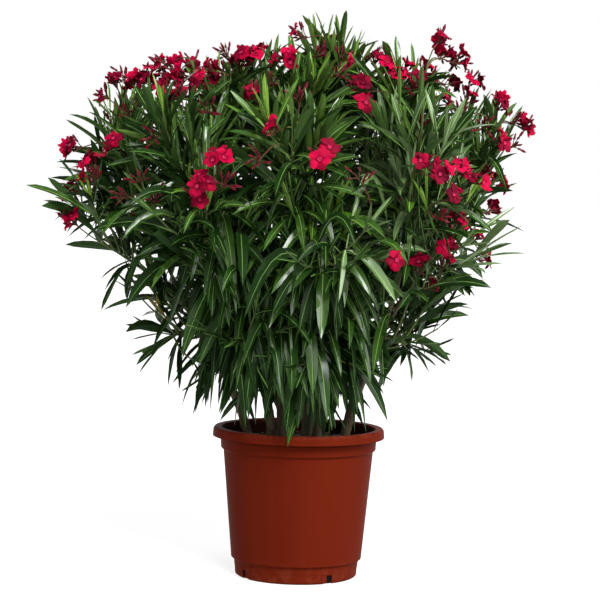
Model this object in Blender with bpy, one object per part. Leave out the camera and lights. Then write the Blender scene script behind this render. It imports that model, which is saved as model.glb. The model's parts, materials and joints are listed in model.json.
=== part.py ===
"""A potted oleander: a shrub of several stems that lean out of one round plastic nursery pot.

Each stem rises from the soil to a fork. Two boughs and one low mass of foliage stand on every fork,
and each bough carries a mass of its own. A mass is a leader with side shoots, whorls of three leaves
and, high on the crown, blossom. Metres, +Z up, -Y is the front, origin under the middle of the pot.
"""

import math
import random
from typing import NamedTuple

import bmesh
import bpy
from mathutils import Quaternion, Vector
from mathutils.bvhtree import BVHTree

UP = Vector((0.0, 0.0, 1.0))
FULL_TURN = 2 * math.pi
SEAT_GAP = 0.0003  # between a piece and what carries it

# Pot, a 20 litre container: outline of its section as (radius, height), from the middle of the
# underside up the outer wall, over the lip and down the inner wall.
POT_HEIGHT = 0.295
RIM_RADIUS = 0.170
FLOOR_THICKNESS = 0.0045
POT_SIDES = 36
LIP_FOOT = POT_HEIGHT - 0.018
POT_OUTSIDE = (
    (0.0000, 0.0000),
    (0.1150, 0.0000),
    (0.1205, 0.0035),
    (0.1235, 0.0330),
    (0.1290, 0.0365),
    (0.1483, 0.2500),
    (0.1533, 0.2535),
    (0.1548, LIP_FOOT),
    (RIM_RADIUS, LIP_FOOT),
    (0.1690, POT_HEIGHT - 0.0040),
    (0.1660, POT_HEIGHT),
    (0.1520, POT_HEIGHT),
)
POT_INSIDE = (
    (0.1502, 0.2560),
    (0.1455, 0.2480),
    (0.1260, 0.0400),
    (0.1204, 0.0345),
    (0.1176, FLOOR_THICKNESS),
)

# Drain slots: four, through the foot of the wall, each with a wider gap under it.
SLOTS = 4
FIRST_SLOT = -57.0  # degrees from +X
SLOT_WIDTH = 0.013
SLOT_TOP = 0.018
SLOT_GAP_WIDTH = 0.022
SLOT_GAP_TOP = 0.0030
SLOT_INNER_RADIUS = 0.110
SLOT_OUTER_RADIUS = 0.135

SOIL_LEVEL = 0.267

# Tapers of the limbs, as (share of the length, radius) at each ring of a tube. A stem flares at
# its foot and swells at its fork.
STEM_TAPER = ((0.00, 0.0138), (0.06, 0.0094), (0.35, 0.0086), (0.66, 0.0076), (0.94, 0.0070),
              (1.00, 0.0089))
BOUGH_TAPER = ((0.00, 0.0040), (0.33, 0.0037), (0.67, 0.0034), (1.00, 0.0031))
LEADER_TAPER = ((0.00, 0.0031), (0.33, 0.0029), (0.67, 0.0027), (1.00, 0.0023))
SHOOT_TAPER = ((0.00, 0.0020), (1.00, 0.0020))
STALK_TAPER = ((0.00, 0.0016), (1.00, 0.0014))
STEM_SIDES = 8
BOUGH_SIDES = 5
TWIG_SIDES = 3
BOUGH_SHARE = 0.52  # of the way from the fork to a head; the leader runs on from there
FORK_OFFSET = 0.0049  # from a fork's middle to the foot of each limb that stands on it
STEM_BEND_OUT, STEM_BEND_UP = 0.20, 0.42  # where a stem's path bends, from its foot to its fork
LIMB_RUN = 0.42  # share of a limb's length for which it runs on as its stem does, before it bends

# Growth of one mass.
FIRST_SEED = 41
SHOOTS_PER_MASS = 5
GOLDEN_TURN = math.radians(137.5)
SHOOT_FROM, SHOOT_TO = 0.20, 0.84  # shares of the leader between which shoots leave it
SHOOT_SPREAD = (38.0, 68.0)  # degrees from the leader
SHOOT_LENGTH = (0.060, 0.100)
SHOOT_LIFT = 0.30  # how far a shoot turns up towards the light, as a share of its length
LEADER_WHORLS = (0.60, 0.965)  # shares of the leader, each a whorl of three leaves
SHOOT_WHORLS = (0.42, 0.95)
WHORL_TURN = 15.0  # degrees that the leaves of a whorl are turned off their twig's faces
CLEARANCE = 0.0012  # that a leaf keeps to limbs, to other leaves and to its mass's bounds

# Leaf: a blade from an upright edge, over its widest section, to a point. Angles are degrees from
# the shoot.
LEAF_LENGTH = (0.125, 0.165)
LEAF_WIDTH = 0.210  # of its length
LEAF_WIDEST = 0.44  # share of the length at which it is widest
LEAF_THICKNESS = 0.013  # of its length
LEAF_ROOT_THICKNESS = 0.0017
LEAF_ANGLE_TIP, LEAF_ANGLE_FOOT = 28.0, 84.0
LEAF_ANGLE_PLAY = 9.0
LEAF_DROOP_TIP, LEAF_DROOP_FOOT = 0.04, 0.30  # sag of the leaf's tip, as a share of its length
HANG_FROM, HANG_FULL = 0.80, 0.48  # heights between which leaves come to hang
HANG_DROOP = 0.95  # sag that this adds
DROOP_FACTOR = (0.6, 1.2)  # by which the sag of one leaf differs from the next
FOOT_TRIM = 0.10  # share of a leaf or shoot, from its root, that may touch its own mass's wood
# What a leaf tries in turn: factors of its angle, droop and length.
RETRIES = ((1.0, 1.0, 1.0), (0.8, 0.7, 1.0), (1.25, 1.0, 1.0), (0.6, 1.2, 0.95), (1.0, 0.2, 0.9),
           (1.5, 0.8, 0.9), (0.7, 0.4, 0.85), (1.2, 1.5, 0.8), (0.4, 0.5, 0.75))

# Blossom: a five-petalled flower on a short stalk.
PETALS = 5
BLOOM_RADIUS = 0.027
BLOOM_NOTCH = 0.60  # radius between petals, as a share of the petals' own
BLOOM_DEPTH = 0.020
BLOOM_DISH = 0.006
STALK_LENGTH = 0.034
STALK_ROOT = 0.97  # share of a twig from which its stalk starts, sunk in the twig's tip
BLOOM_ALONG, BLOOM_OUTWARD, BLOOM_UPWARD = 0.50, 0.60, 0.45  # what a flower faces, as weights
BLOOM_LEVEL = 0.70  # heads above this height blossom

# The crown's outline: radius at each height of a crown as wide all round as it is deep, and how
# much further it reaches to the left, right, front and back.
OUTLINE = ((0.300, 0.205), (0.400, 0.285), (0.520, 0.385), (0.640, 0.440), (0.720, 0.490),
           (0.840, 0.500), (0.940, 0.440), (1.030, 0.330), (1.095, 0.180))
REACH_LEFT, REACH_RIGHT, REACH_FRONT, REACH_BACK = 1.08, 0.97, 0.94, 0.92
POT_CLEARANCE = 0.006

POT_CREASE, LIMB_CREASE = 30.0, 50.0  # degrees beyond which an edge is shaded sharp

PLASTIC = ("terracotta_plastic", (0.205, 0.028, 0.012), 0.42)
SOIL = ("potting_soil", (0.030, 0.018, 0.011), 0.95)
BARK = ("bark", (0.110, 0.075, 0.042), 0.80)
GREENWOOD = ("green_bark", (0.085, 0.085, 0.035), 0.70)
FOLIAGE = ("foliage", (0.028, 0.085, 0.022), 0.45)


class Stem(NamedTuple):
    """A stem and its three heads. Headings are degrees from +X, anticlockwise from above."""

    name: str
    heading: float
    foot: float  # distance of the foot from the pot's axis
    reach: float  # of the fork from the pot's axis
    height: float  # of the fork
    heads: tuple  # (name, heading, reach, height) of each head's middle


STEMS = (
    Stem("left", 181, 0.098, 0.190, 0.470, (
        ("upper", 172, 0.370, 0.840), ("outer", 185, 0.400, 0.655), ("low", 190, 0.270, 0.465))),
    Stem("front_left", 231, 0.080, 0.135, 0.460, (
        ("upper", 217, 0.325, 0.870), ("outer", 231, 0.340, 0.690), ("low", 239, 0.210, 0.485))),
    Stem("front", 281, 0.072, 0.095, 0.460, (
        ("upper", 264, 0.305, 0.835), ("outer", 278, 0.320, 0.650), ("low", 286, 0.185, 0.445))),
    Stem("front_right", 332, 0.100, 0.165, 0.455, (
        ("upper", 309, 0.335, 0.860), ("outer", 322, 0.350, 0.685), ("low", 335, 0.225, 0.475))),
    Stem("back_right", 24, 0.100, 0.160, 0.460, (
        ("upper", 357, 0.375, 0.840), ("outer", 8, 0.355, 0.650), ("low", 22, 0.235, 0.455))),
    Stem("back", 77, 0.085, 0.140, 0.470, (
        ("upper", 46, 0.340, 0.860), ("outer", 64, 0.345, 0.685), ("low", 76, 0.215, 0.480))),
    Stem("back_left", 129, 0.085, 0.150, 0.460, (
        ("upper", 130, 0.335, 0.850), ("outer", 124, 0.350, 0.660), ("low", 131, 0.225, 0.460))),
    Stem("inner_left", 165, 0.034, 0.070, 0.630, (
        ("top", 203, 0.195, 0.950), ("crest", 140, 0.150, 0.965), ("heart", 268, 0.085, 0.905))),
    Stem("inner_right", 12, 0.036, 0.070, 0.630, (
        ("top", 340, 0.215, 0.955), ("crest", 50, 0.075, 0.990), ("heart", 84, 0.255, 0.925))),
)


def polar(heading, reach, height):
    """The point at this heading in degrees, this far from the pot's axis."""
    angle = math.radians(heading)
    return Vector((reach * math.cos(angle), reach * math.sin(angle), height))


def blended(first, last, share):
    """The value this share of the way from the first to the last, and no further."""
    return first + (last - first) * min(max(share, 0.0), 1.0)


def across_from(direction):
    """A unit vector square to a direction and level."""
    across = direction.cross(UP)
    if across.length < 1e-3:
        across = direction.cross(Vector((1.0, 0.0, 0.0)))
    return across.normalized()


def squared(vector, direction):
    """A vector's part that is square to a direction, as a unit vector."""
    return (vector - direction * vector.dot(direction)).normalized()


def outline_reach(point):
    """How far the crown reaches from the pot's axis at a point's height and heading."""
    reach = OUTLINE[-1][1]
    for (low, near), (high, far) in zip(OUTLINE, OUTLINE[1:]):
        if point.z <= high:
            reach = blended(near, far, (point.z - low) / (high - low))
            break
    flat = Vector((point.x, point.y))
    if flat.length < 1e-9:
        return reach
    flat.normalize()
    side = REACH_RIGHT if flat.x > 0 else REACH_LEFT
    depth = REACH_BACK if flat.y > 0 else REACH_FRONT
    return reach * (side * flat.x**2 + depth * flat.y**2)


def in_crown(point):
    """Whether a point is inside the crown's outline and clear of the pot."""
    if not POT_HEIGHT + POT_CLEARANCE < point.z < OUTLINE[-1][0]:
        return False
    return math.hypot(point.x, point.y) < outline_reach(point)


class Path:
    """A limb's middle line: a curve from a start to an end, pulled towards a control point."""

    def __init__(self, start, control, end):
        self.start, self.control, self.end = start, control, end

    def point(self, share):
        near = self.start.lerp(self.control, share)
        return near.lerp(self.control.lerp(self.end, share), share)

    def direction(self, share):
        return (self.control - self.start).lerp(self.end - self.control, share).normalized()

    def spoke(self, share, turn):
        """The unit vector square to the path, this far round it in radians."""
        along = self.direction(share)
        first = squared(across_from(self.direction(0.0)), along)
        return Quaternion(along, turn) @ first

    def part(self, first, last):
        """The stretch of the curve between two shares."""
        bend = self.start.lerp(self.control, first).lerp(self.control.lerp(self.end, first), last)
        return Path(self.point(first), bend, self.point(last))

    def moved(self, offset):
        return Path(self.start + offset, self.control + offset, self.end + offset)

    def inside(self, share, taper):
        """The middle of the tube made along the path, where its sides run straight ring to ring."""
        for (low, _), (high, _) in zip(taper, taper[1:]):
            if share <= high:
                part = (share - low) / (high - low)
                return self.point(low).lerp(self.point(high), part)
        return self.point(share)


def lofted(rings):
    """A closed mesh through rings of points."""
    mesh = bmesh.new()
    rows = [[mesh.verts.new(point) for point in ring] for ring in rings]
    count = len(rows[0])
    for row, other in zip(rows, rows[1:]):
        for i in range(count):
            j = (i + 1) % count
            mesh.faces.new((row[i], row[j], other[j], other[i]))
    mesh.faces.new(rows[0][::-1])
    mesh.faces.new(rows[-1])
    bmesh.ops.recalc_face_normals(mesh, faces=mesh.faces)
    return mesh


def tube(path, taper, sides, extra=0.0, level_foot=False):
    """A tapering tube along a path, with extra radius all along, and a level foot if asked."""
    rings = []
    for share, radius in taper:
        spokes = [path.spoke(share, FULL_TURN * i / sides) for i in range(sides)]
        if level_foot and share == 0.0:
            spokes = [squared(spoke, UP) for spoke in spokes]
        rings.append([path.point(share) + spoke * (radius + extra) for spoke in spokes])
    return lofted(rings)


def leaf(root, direction, shoot, length, droop, extra=0.0, trim=0.0):
    """A lance-shaped blade, bent by its own weight, with its upper face towards the shoot's tip.

    extra makes it larger all round, and trim leaves that share of its foot out: both are for
    finding whether it touches anything.
    """
    stretch = length / (direction - UP * droop).length

    def spine(share):
        return root + (direction * share - UP * droop * share * share) * stretch

    foot, middle, tip = spine(trim), spine(LEAF_WIDEST), spine(1.0)
    foot_top = squared(shoot, direction) * (LEAF_ROOT_THICKNESS / 2 + extra)
    along = (spine(LEAF_WIDEST + 0.05) - middle).normalized()
    top = squared(foot_top, along)
    side = along.cross(top) * (LEAF_WIDTH * length / 2 + extra)
    keel = top * (LEAF_THICKNESS * length + extra)
    end = tip + (tip - spine(0.9)).normalized() * extra

    mesh = bmesh.new()
    points = (foot + foot_top, foot - foot_top, middle + side + top * extra,
              middle - side + top * extra, middle - keel, end)
    upper, lower, left, right, below, point = [mesh.verts.new(place) for place in points]
    for corners in ((upper, left, right), (left, point, right),
                    (upper, lower, left), (lower, below, left), (left, below, point),
                    (upper, right, lower), (lower, right, below), (right, point, below)):
        mesh.faces.new(corners)
    bmesh.ops.recalc_face_normals(mesh, faces=mesh.faces)
    return mesh


def bloom(middle, facing):
    """A five-petalled flower: a dished star with a pointed back."""
    across = across_from(facing)
    mesh = bmesh.new()
    rim = []
    for i in range(2 * PETALS):
        radius = BLOOM_RADIUS if i % 2 == 0 else BLOOM_RADIUS * BLOOM_NOTCH
        spoke = Quaternion(facing, math.pi * i / PETALS) @ across
        rim.append(mesh.verts.new(middle + spoke * radius))
    face = mesh.verts.new(middle - facing * BLOOM_DISH)
    back = mesh.verts.new(middle - facing * BLOOM_DEPTH)
    for point, following in zip(rim, rim[1:] + rim[:1]):
        mesh.faces.new((point, following, face))
        mesh.faces.new((following, point, back))
    bmesh.ops.recalc_face_normals(mesh, faces=mesh.faces)
    return mesh


def material(look):
    """The named finish, made once."""
    name, colour, roughness = look
    found = bpy.data.materials.get(name)
    if found:
        return found
    made = bpy.data.materials.new(name)
    made.use_nodes = True
    shader = made.node_tree.nodes["Principled BSDF"]
    shader.inputs["Base Color"].default_value = (*colour, 1.0)
    shader.inputs["Roughness"].default_value = roughness
    return made


def add_object(name, mesh, look, origin=None, collection=None):
    """A named object from a bmesh, with its origin at a point of the piece."""
    origin = origin or Vector()
    bmesh.ops.translate(mesh, verts=mesh.verts, vec=-origin)
    data = bpy.data.meshes.new(name)
    mesh.to_mesh(data)
    mesh.free()
    data.materials.append(material(look))
    made = bpy.data.objects.new(name, data)
    made.location = origin
    (collection or bpy.context.scene.collection).objects.link(made)
    return made


def shaded_smooth(piece, degrees):
    """The piece shaded smooth, but for edges sharper than an angle."""
    piece.data.shade_smooth()
    piece.data.set_sharp_from_angle(angle=math.radians(degrees))
    return piece


def boolean(piece, operation, members, solver="EXACT"):
    """Cuts or joins a piece by a list of meshes, applies that, and removes them."""
    helpers = bpy.data.collections.new(f"{piece.name}_parts")
    bpy.context.scene.collection.children.link(helpers)
    look = piece.data.materials[0]
    for number, member in enumerate(members):
        data = bpy.data.meshes.new(f"{piece.name}_part_{number}")
        member.to_mesh(data)
        member.free()
        data.materials.append(look)
        helpers.objects.link(bpy.data.objects.new(data.name, data))
    modifier = piece.modifiers.new("Join", "BOOLEAN")
    modifier.operation = operation
    modifier.operand_type = "COLLECTION"
    modifier.collection = helpers
    modifier.solver = solver
    bpy.context.view_layer.update()
    graph = bpy.context.evaluated_depsgraph_get()
    before = piece.data
    piece.data = bpy.data.meshes.new_from_object(piece.evaluated_get(graph))
    piece.modifiers.clear()
    for data in [before] + [helper.data for helper in helpers.objects]:
        bpy.data.meshes.remove(data)
    bpy.data.collections.remove(helpers)
    return piece


def main_body(piece):
    """The piece without loose scraps, and with the hollows filled that fusing sealed in it."""
    mesh = bmesh.new()
    mesh.from_mesh(piece.data)
    unseen = set(mesh.verts)
    bodies = []
    while unseen:
        body, frontier = set(), [unseen.pop()]
        while frontier:
            vertex = frontier.pop()
            body.add(vertex)
            reached = {link.other_vert(vertex) for link in vertex.link_edges} & unseen
            unseen -= reached
            frontier.extend(reached)
        bodies.append(body)
    bodies.sort(key=len)
    scraps = [vertex for body in bodies[:-1] for vertex in body]
    bmesh.ops.delete(mesh, geom=scraps, context="VERTS")
    mesh.to_mesh(piece.data)
    mesh.free()
    return piece


def turned(outline, sides):
    """A solid turned round +Z from its outline, which starts and ends on the axis."""
    mesh = bmesh.new()
    points = [mesh.verts.new((radius, 0.0, height)) for radius, height in outline]
    edges = [mesh.edges.new(pair) for pair in zip(points, points[1:])]
    bmesh.ops.spin(mesh, geom=points + edges, cent=(0, 0, 0), axis=(0, 0, 1), angle=FULL_TURN,
                   steps=sides, use_merge=True)
    bmesh.ops.remove_doubles(mesh, verts=mesh.verts, dist=1e-5)
    bmesh.ops.recalc_face_normals(mesh, faces=mesh.faces)
    return mesh


def slot_cutter(number, width, top):
    """A box through the foot of the pot's wall, square to it and open below."""
    mesh = bmesh.new()
    bmesh.ops.create_cube(mesh, size=1.0)
    depth = SLOT_OUTER_RADIUS - SLOT_INNER_RADIUS
    bmesh.ops.scale(mesh, verts=mesh.verts, vec=(depth, width, 2 * top))
    bmesh.ops.translate(mesh, verts=mesh.verts, vec=(SLOT_INNER_RADIUS + depth / 2, 0.0, 0.0))
    turn = Quaternion(UP, math.radians(FIRST_SLOT + number * 360.0 / SLOTS)).to_matrix()
    bmesh.ops.rotate(mesh, verts=mesh.verts, cent=(0, 0, 0), matrix=turn)
    return mesh


def make_pot():
    """The pot, one turned shell with its drain slots cut."""
    outline = POT_OUTSIDE + POT_INSIDE + ((0.0, FLOOR_THICKNESS),)
    pot = add_object("pot", turned(outline, POT_SIDES), PLASTIC)
    cutters = []
    for number in range(SLOTS):
        cutters.append(slot_cutter(number, SLOT_WIDTH, SLOT_TOP))
        cutters.append(slot_cutter(number, SLOT_GAP_WIDTH, SLOT_GAP_TOP))
    return shaded_smooth(boolean(pot, "DIFFERENCE", cutters), POT_CREASE)


def make_soil():
    """The soil that fills the pot, clear of its wall, with a level top."""
    floor = FLOOR_THICKNESS + SEAT_GAP
    wall = [(radius - SEAT_GAP, max(height, floor)) for radius, height in POT_INSIDE[::-1]
            if height < SOIL_LEVEL]
    edge = (wall[-1][0], SOIL_LEVEL)
    return add_object("soil", turned([(0.0, floor), *wall, edge, (0.0, SOIL_LEVEL)], POT_SIDES), SOIL)


def make_limb(name, path, taper, sides, look):
    """One stem or bough. A stem stands on the soil with a level cut."""
    mesh = tube(path, taper, sides, level_foot=look is BARK)
    return shaded_smooth(add_object(name, mesh, look, origin=path.start), LIMB_CREASE)


def search_tree(mesh):
    """A search tree of a mesh, which it frees."""
    tree = BVHTree.FromBMesh(mesh)
    mesh.free()
    return tree


class Foliage:
    """One mass of foliage: a leader, its side shoots, their leaves and flowers."""

    def __init__(self, name, leader, seed):
        self.name, self.leader, self.head = name, leader, leader.end
        self.random = random.Random(seed)
        self.neighbours = []
        self.limbs = []
        self.parts = []
        self.placed = []

    def keeps(self, mesh):
        """Whether a mesh is in the crown and nearer this mass's head than any other's."""
        for vertex in mesh.verts:
            own = (vertex.co - self.head).length + 2 * CLEARANCE
            if not in_crown(vertex.co):
                return False
            if any((vertex.co - head).length < own for head in self.neighbours):
                return False
        return True

    def add(self, part, bounds, beyond_root=None):
        """Adds a part if its bounds, a slightly larger mesh, have room, and tells whether they had.

        Where a root is sunk in the mass's own wood, beyond_root is the bounds without it.
        """
        tree = search_tree(bounds)
        fits = not any(tree.overlap(limb) for limb in self.limbs)
        if beyond_root:
            fits = fits and self.keeps(beyond_root)
            tree = search_tree(beyond_root)
        if not fits or any(tree.overlap(other) for other in self.placed):
            part.free()
            return False
        self.placed.append(tree)
        self.parts.append(part)
        return True

    def add_leaf(self, path, taper, share, turn):
        """Adds one leaf to a twig, leaning more or less, or shorter, until it has room."""
        root, along = path.inside(share, taper), path.direction(share)
        side = path.spoke(share, turn)
        age = 2 * (1.0 - share)
        play = self.random.uniform(-LEAF_ANGLE_PLAY, LEAF_ANGLE_PLAY)
        angle = blended(LEAF_ANGLE_TIP, LEAF_ANGLE_FOOT, age) + play
        hang = (HANG_FROM - root.z) / (HANG_FROM - HANG_FULL)
        droop = blended(LEAF_DROOP_TIP, LEAF_DROOP_FOOT, age) + blended(0.0, HANG_DROOP, hang)
        droop *= self.random.uniform(*DROOP_FACTOR)
        length = self.random.uniform(*LEAF_LENGTH)
        for wider, slacker, shorter in RETRIES:
            lean = math.radians(angle * wider)
            blade = (root, along * math.cos(lean) + side * math.sin(lean), along,
                     length * shorter, droop * slacker)
            beyond_root = leaf(*blade, extra=CLEARANCE, trim=FOOT_TRIM)
            if self.add(leaf(*blade), leaf(*blade, extra=CLEARANCE), beyond_root):
                return

    def add_whorls(self, path, taper, shares):
        """Adds whorls of leaves along a twig, one leaf to each of its faces."""
        turn = math.radians(WHORL_TURN)
        for share in shares:
            for number in range(TWIG_SIDES):
                face = FULL_TURN * (number + 0.5) / TWIG_SIDES
                self.add_leaf(path, taper, share, face + turn)
            turn = -turn

    def add_bloom(self, path):
        """Adds a stalk that runs on from a twig's tip, with an open flower on it, if it has room."""
        tip, along = path.point(STALK_ROOT), path.direction(1.0)
        outward = Vector((tip.x, tip.y, 0.0)).normalized()
        facing = (along * BLOOM_ALONG + outward * BLOOM_OUTWARD + UP * BLOOM_UPWARD).normalized()
        top = tip + along * STALK_LENGTH
        middle = top + facing * BLOOM_DEPTH / 2
        flower = bloom(middle, facing)
        if self.add(flower, flower.copy(), flower.copy()):
            self.parts.append(tube(Path(tip, (tip + top) / 2, top), STALK_TAPER, TWIG_SIDES))

    def add_shoots(self):
        """Adds the side shoots, spiralling up the leader, and gives their paths."""
        first = self.random.uniform(0.0, FULL_TURN)
        shoots = []
        for number in range(SHOOTS_PER_MASS):
            share = blended(SHOOT_FROM, SHOOT_TO, number / (SHOOTS_PER_MASS - 1))
            along = self.leader.direction(share)
            side = self.leader.spoke(share, first + number * GOLDEN_TURN)
            spread = math.radians(self.random.uniform(*SHOOT_SPREAD))
            out = along * math.cos(spread) + side * math.sin(spread)
            length = self.random.uniform(*SHOOT_LENGTH)
            start = self.leader.inside(share, LEADER_TAPER)
            shoot = Path(start, start + out * length / 2, start + (out + UP * SHOOT_LIFT) * length)
            twig = tube(shoot, SHOOT_TAPER, TWIG_SIDES)
            bounds = tube(shoot, SHOOT_TAPER, TWIG_SIDES, CLEARANCE)
            beyond_root = tube(shoot.part(FOOT_TRIM, 1.0), SHOOT_TAPER, TWIG_SIDES, CLEARANCE)
            if self.add(twig, bounds, beyond_root):
                shoots.append(shoot)
        return shoots

    def grow(self):
        """Grows the mass and fuses it to a single solid."""
        shoots = self.add_shoots()
        if self.head.z > BLOOM_LEVEL:
            self.add_bloom(self.leader)
            for shoot in shoots[::2]:
                self.add_bloom(shoot)
        self.add_whorls(self.leader, LEADER_TAPER, LEADER_WHORLS)
        self.placed.append(search_tree(tube(self.leader, LEADER_TAPER, TWIG_SIDES, CLEARANCE)))
        for shoot in shoots:
            self.add_whorls(shoot, SHOOT_TAPER, SHOOT_WHORLS)
        piece = add_object(self.name, tube(self.leader, LEADER_TAPER, TWIG_SIDES), FOLIAGE)
        # The exact solver leaves open edges where the roots of a whorl cross inside their twig.
        return main_body(boolean(piece, "UNION", self.parts, solver="MANIFOLD"))


def fork_feet(tip, along, heads):
    """Where each of three limbs stands on a fork: evenly spaced, on the side that it grows to.

    The limb that turns off most stands right on its side of the fork, ahead of the other two.
    """
    across = across_from(along)
    beside = along.cross(across)
    away = [(head - tip).normalized() for head in heads]
    bearings = [math.atan2(way.dot(beside), way.dot(across)) for way in away]
    ahead = min(range(len(heads)), key=lambda limb: away[limb].dot(along))

    def off_ahead(limb):
        return (bearings[limb] - bearings[ahead] + math.pi) % FULL_TURN - math.pi

    others = sorted((limb for limb in range(len(heads)) if limb != ahead), key=off_ahead)
    turns = {ahead: 0.0, others[0]: -FULL_TURN / 3, others[1]: FULL_TURN / 3}
    feet = []
    for limb in range(len(heads)):
        turn = bearings[ahead] + turns[limb]
        spoke = across * math.cos(turn) + beside * math.sin(turn)
        feet.append(tip + along * SEAT_GAP + spoke * FORK_OFFSET)
    return feet


def plan_stem(stem):
    """A stem's limbs as (name, path, taper, sides, look), and the name and leader of each mass."""
    foot = polar(stem.heading, stem.foot, SOIL_LEVEL + SEAT_GAP)
    fork = polar(stem.heading, stem.reach, stem.height)
    bend = foot.lerp(fork, STEM_BEND_OUT)
    bend.z = foot.lerp(fork, STEM_BEND_UP).z
    trunk = Path(foot, bend, fork)
    limbs = [(f"stem_{stem.name}", trunk, STEM_TAPER, STEM_SIDES, BARK)]
    leaders = []
    along = trunk.direction(1.0)
    heads = [polar(*head[1:]) for head in stem.heads]
    for (name, *_), head, start in zip(stem.heads, heads, fork_feet(fork, along, heads)):
        whole = Path(start, start + along * (head - start).length * LIMB_RUN, head)
        mass = f"leaves_{stem.name}_{name}"
        if name == "low":
            leaders.append((mass, whole))
            continue
        bough = whole.part(0.0, BOUGH_SHARE)
        limbs.append((f"bough_{stem.name}_{name}", bough, BOUGH_TAPER, BOUGH_SIDES, GREENWOOD))
        leader = whole.part(BOUGH_SHARE, 1.0).moved(bough.direction(1.0) * SEAT_GAP)
        leaders.append((mass, leader))
    return limbs, leaders


def main():
    for old in list(bpy.data.objects):
        bpy.data.objects.remove(old)
    plant = bpy.data.objects.new("oleander", None)
    bpy.context.scene.collection.objects.link(plant)
    pieces = [make_pot(), make_soil()]

    masses, limb_trees, leader_trees = [], [], []
    for stem in STEMS:
        limbs, leaders = plan_stem(stem)
        for limb in limbs:
            pieces.append(make_limb(*limb))
            limb_trees.append(search_tree(tube(*limb[1:4], extra=CLEARANCE)))
        for name, leader in leaders:
            masses.append(Foliage(name, leader, FIRST_SEED + len(masses)))
            leader_trees.append(search_tree(tube(leader, LEADER_TAPER, BOUGH_SIDES, extra=CLEARANCE)))
    for number, mass in enumerate(masses):
        mass.neighbours = [other.head for other in masses if other is not mass]
        mass.limbs = limb_trees + leader_trees[:number] + leader_trees[number + 1:]
        pieces.append(mass.grow())
    for piece in pieces:
        piece.parent = plant


if __name__ == "__main__":
    main()
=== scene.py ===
"""Looks of a potted oleander: moulded pot, potting mix, barked stems, leafy shoots and blossom.

The stems and boughs lie where their solids lie. The foliage grows on from them by the rule that the
solids follow, carried on to finer shoots, and keeps within the same crown. Metres, +Z up, -Y front.
"""

from __future__ import annotations

import json
import logging
import math
import random
from dataclasses import dataclass, field
from enum import Enum
from typing import Iterable, Sequence, Union

import bmesh
import bpy
import numpy as np
from mathutils import Matrix, Quaternion, Vector, noise

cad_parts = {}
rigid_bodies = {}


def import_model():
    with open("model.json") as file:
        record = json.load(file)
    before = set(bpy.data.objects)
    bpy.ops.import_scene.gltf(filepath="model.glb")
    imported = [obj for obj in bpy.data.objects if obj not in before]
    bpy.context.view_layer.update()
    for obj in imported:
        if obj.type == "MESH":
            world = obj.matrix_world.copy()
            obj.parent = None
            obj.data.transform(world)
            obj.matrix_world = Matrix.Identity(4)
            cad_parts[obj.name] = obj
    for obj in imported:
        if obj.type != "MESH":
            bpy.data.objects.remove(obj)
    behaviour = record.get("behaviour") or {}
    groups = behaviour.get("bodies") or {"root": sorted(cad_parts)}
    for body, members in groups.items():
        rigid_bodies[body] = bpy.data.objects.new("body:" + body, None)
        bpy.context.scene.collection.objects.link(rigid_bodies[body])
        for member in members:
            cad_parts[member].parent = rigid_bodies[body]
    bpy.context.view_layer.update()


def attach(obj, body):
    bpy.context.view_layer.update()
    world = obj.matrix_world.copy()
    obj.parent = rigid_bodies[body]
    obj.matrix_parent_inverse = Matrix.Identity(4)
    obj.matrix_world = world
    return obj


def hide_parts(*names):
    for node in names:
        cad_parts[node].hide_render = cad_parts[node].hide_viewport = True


log = logging.getLogger("oleander")

BODY = "root"
UP = Vector((0.0, 0.0, 1.0))
FULL_TURN = 2.0 * math.pi
GOLDEN_TURN = math.radians(137.5)
LEAF_RING = 5
TINY = 1e-6
FILLET_MOST = 0.48
MIX_SHARE, MIX_FIRST, MIX_LAST, MIX_COLOUR = 0, 6, 7, 2

Band = tuple[float, float]
Colour = tuple[float, float, float]
Place = tuple[float, float, float]
Taper = Sequence[Band]
Stretch = tuple[Vector, Vector, float]


# Small maths


def blended(first: float, last: float, share: float) -> float:
    """The value this share of the way from the first to the last, and no further."""
    return first + (last - first) * min(max(share, 0.0), 1.0)


def polar(heading: float, reach: float, height: float) -> Vector:
    """The point at this heading in degrees, this far from the pot's axis."""
    angle = math.radians(heading)
    return Vector((reach * math.cos(angle), reach * math.sin(angle), height))


def across_from(direction: Vector) -> Vector:
    """A unit vector square to a direction and level."""
    across = direction.cross(UP)
    if across.length < TINY:
        across = direction.cross(Vector((1.0, 0.0, 0.0)))
    return across.normalized()


def squared(vector: Vector, direction: Vector) -> Vector:
    """A vector's part that is square to a direction, as a unit vector."""
    return (vector - direction * vector.dot(direction)).normalized()


def slanted(along: Vector, side: Vector, lean: float) -> Vector:
    """The unit direction this many radians off one direction, towards another square to it."""
    return along * math.cos(lean) + side * math.sin(lean)


def leaned(direction: Vector, degrees: float, turn: float) -> Vector:
    """A unit direction leaned off another.

    Args:
        direction: The unit vector that it leans from.
        degrees: How far it leans.
        turn: The side that it leans to, in radians round the direction.

    Returns:
        The leaned unit vector.
    """
    side = Quaternion(direction, turn) @ across_from(direction)
    return slanted(direction, side, math.radians(degrees))


def radius_at(taper: Taper, share: float) -> float:
    """The radius that a taper gives at a share of the length."""
    for (low, thick), (high, thin) in zip(taper, taper[1:]):
        if share <= high:
            return blended(thick, thin, (share - low) / (high - low))
    return taper[-1][1]


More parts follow.
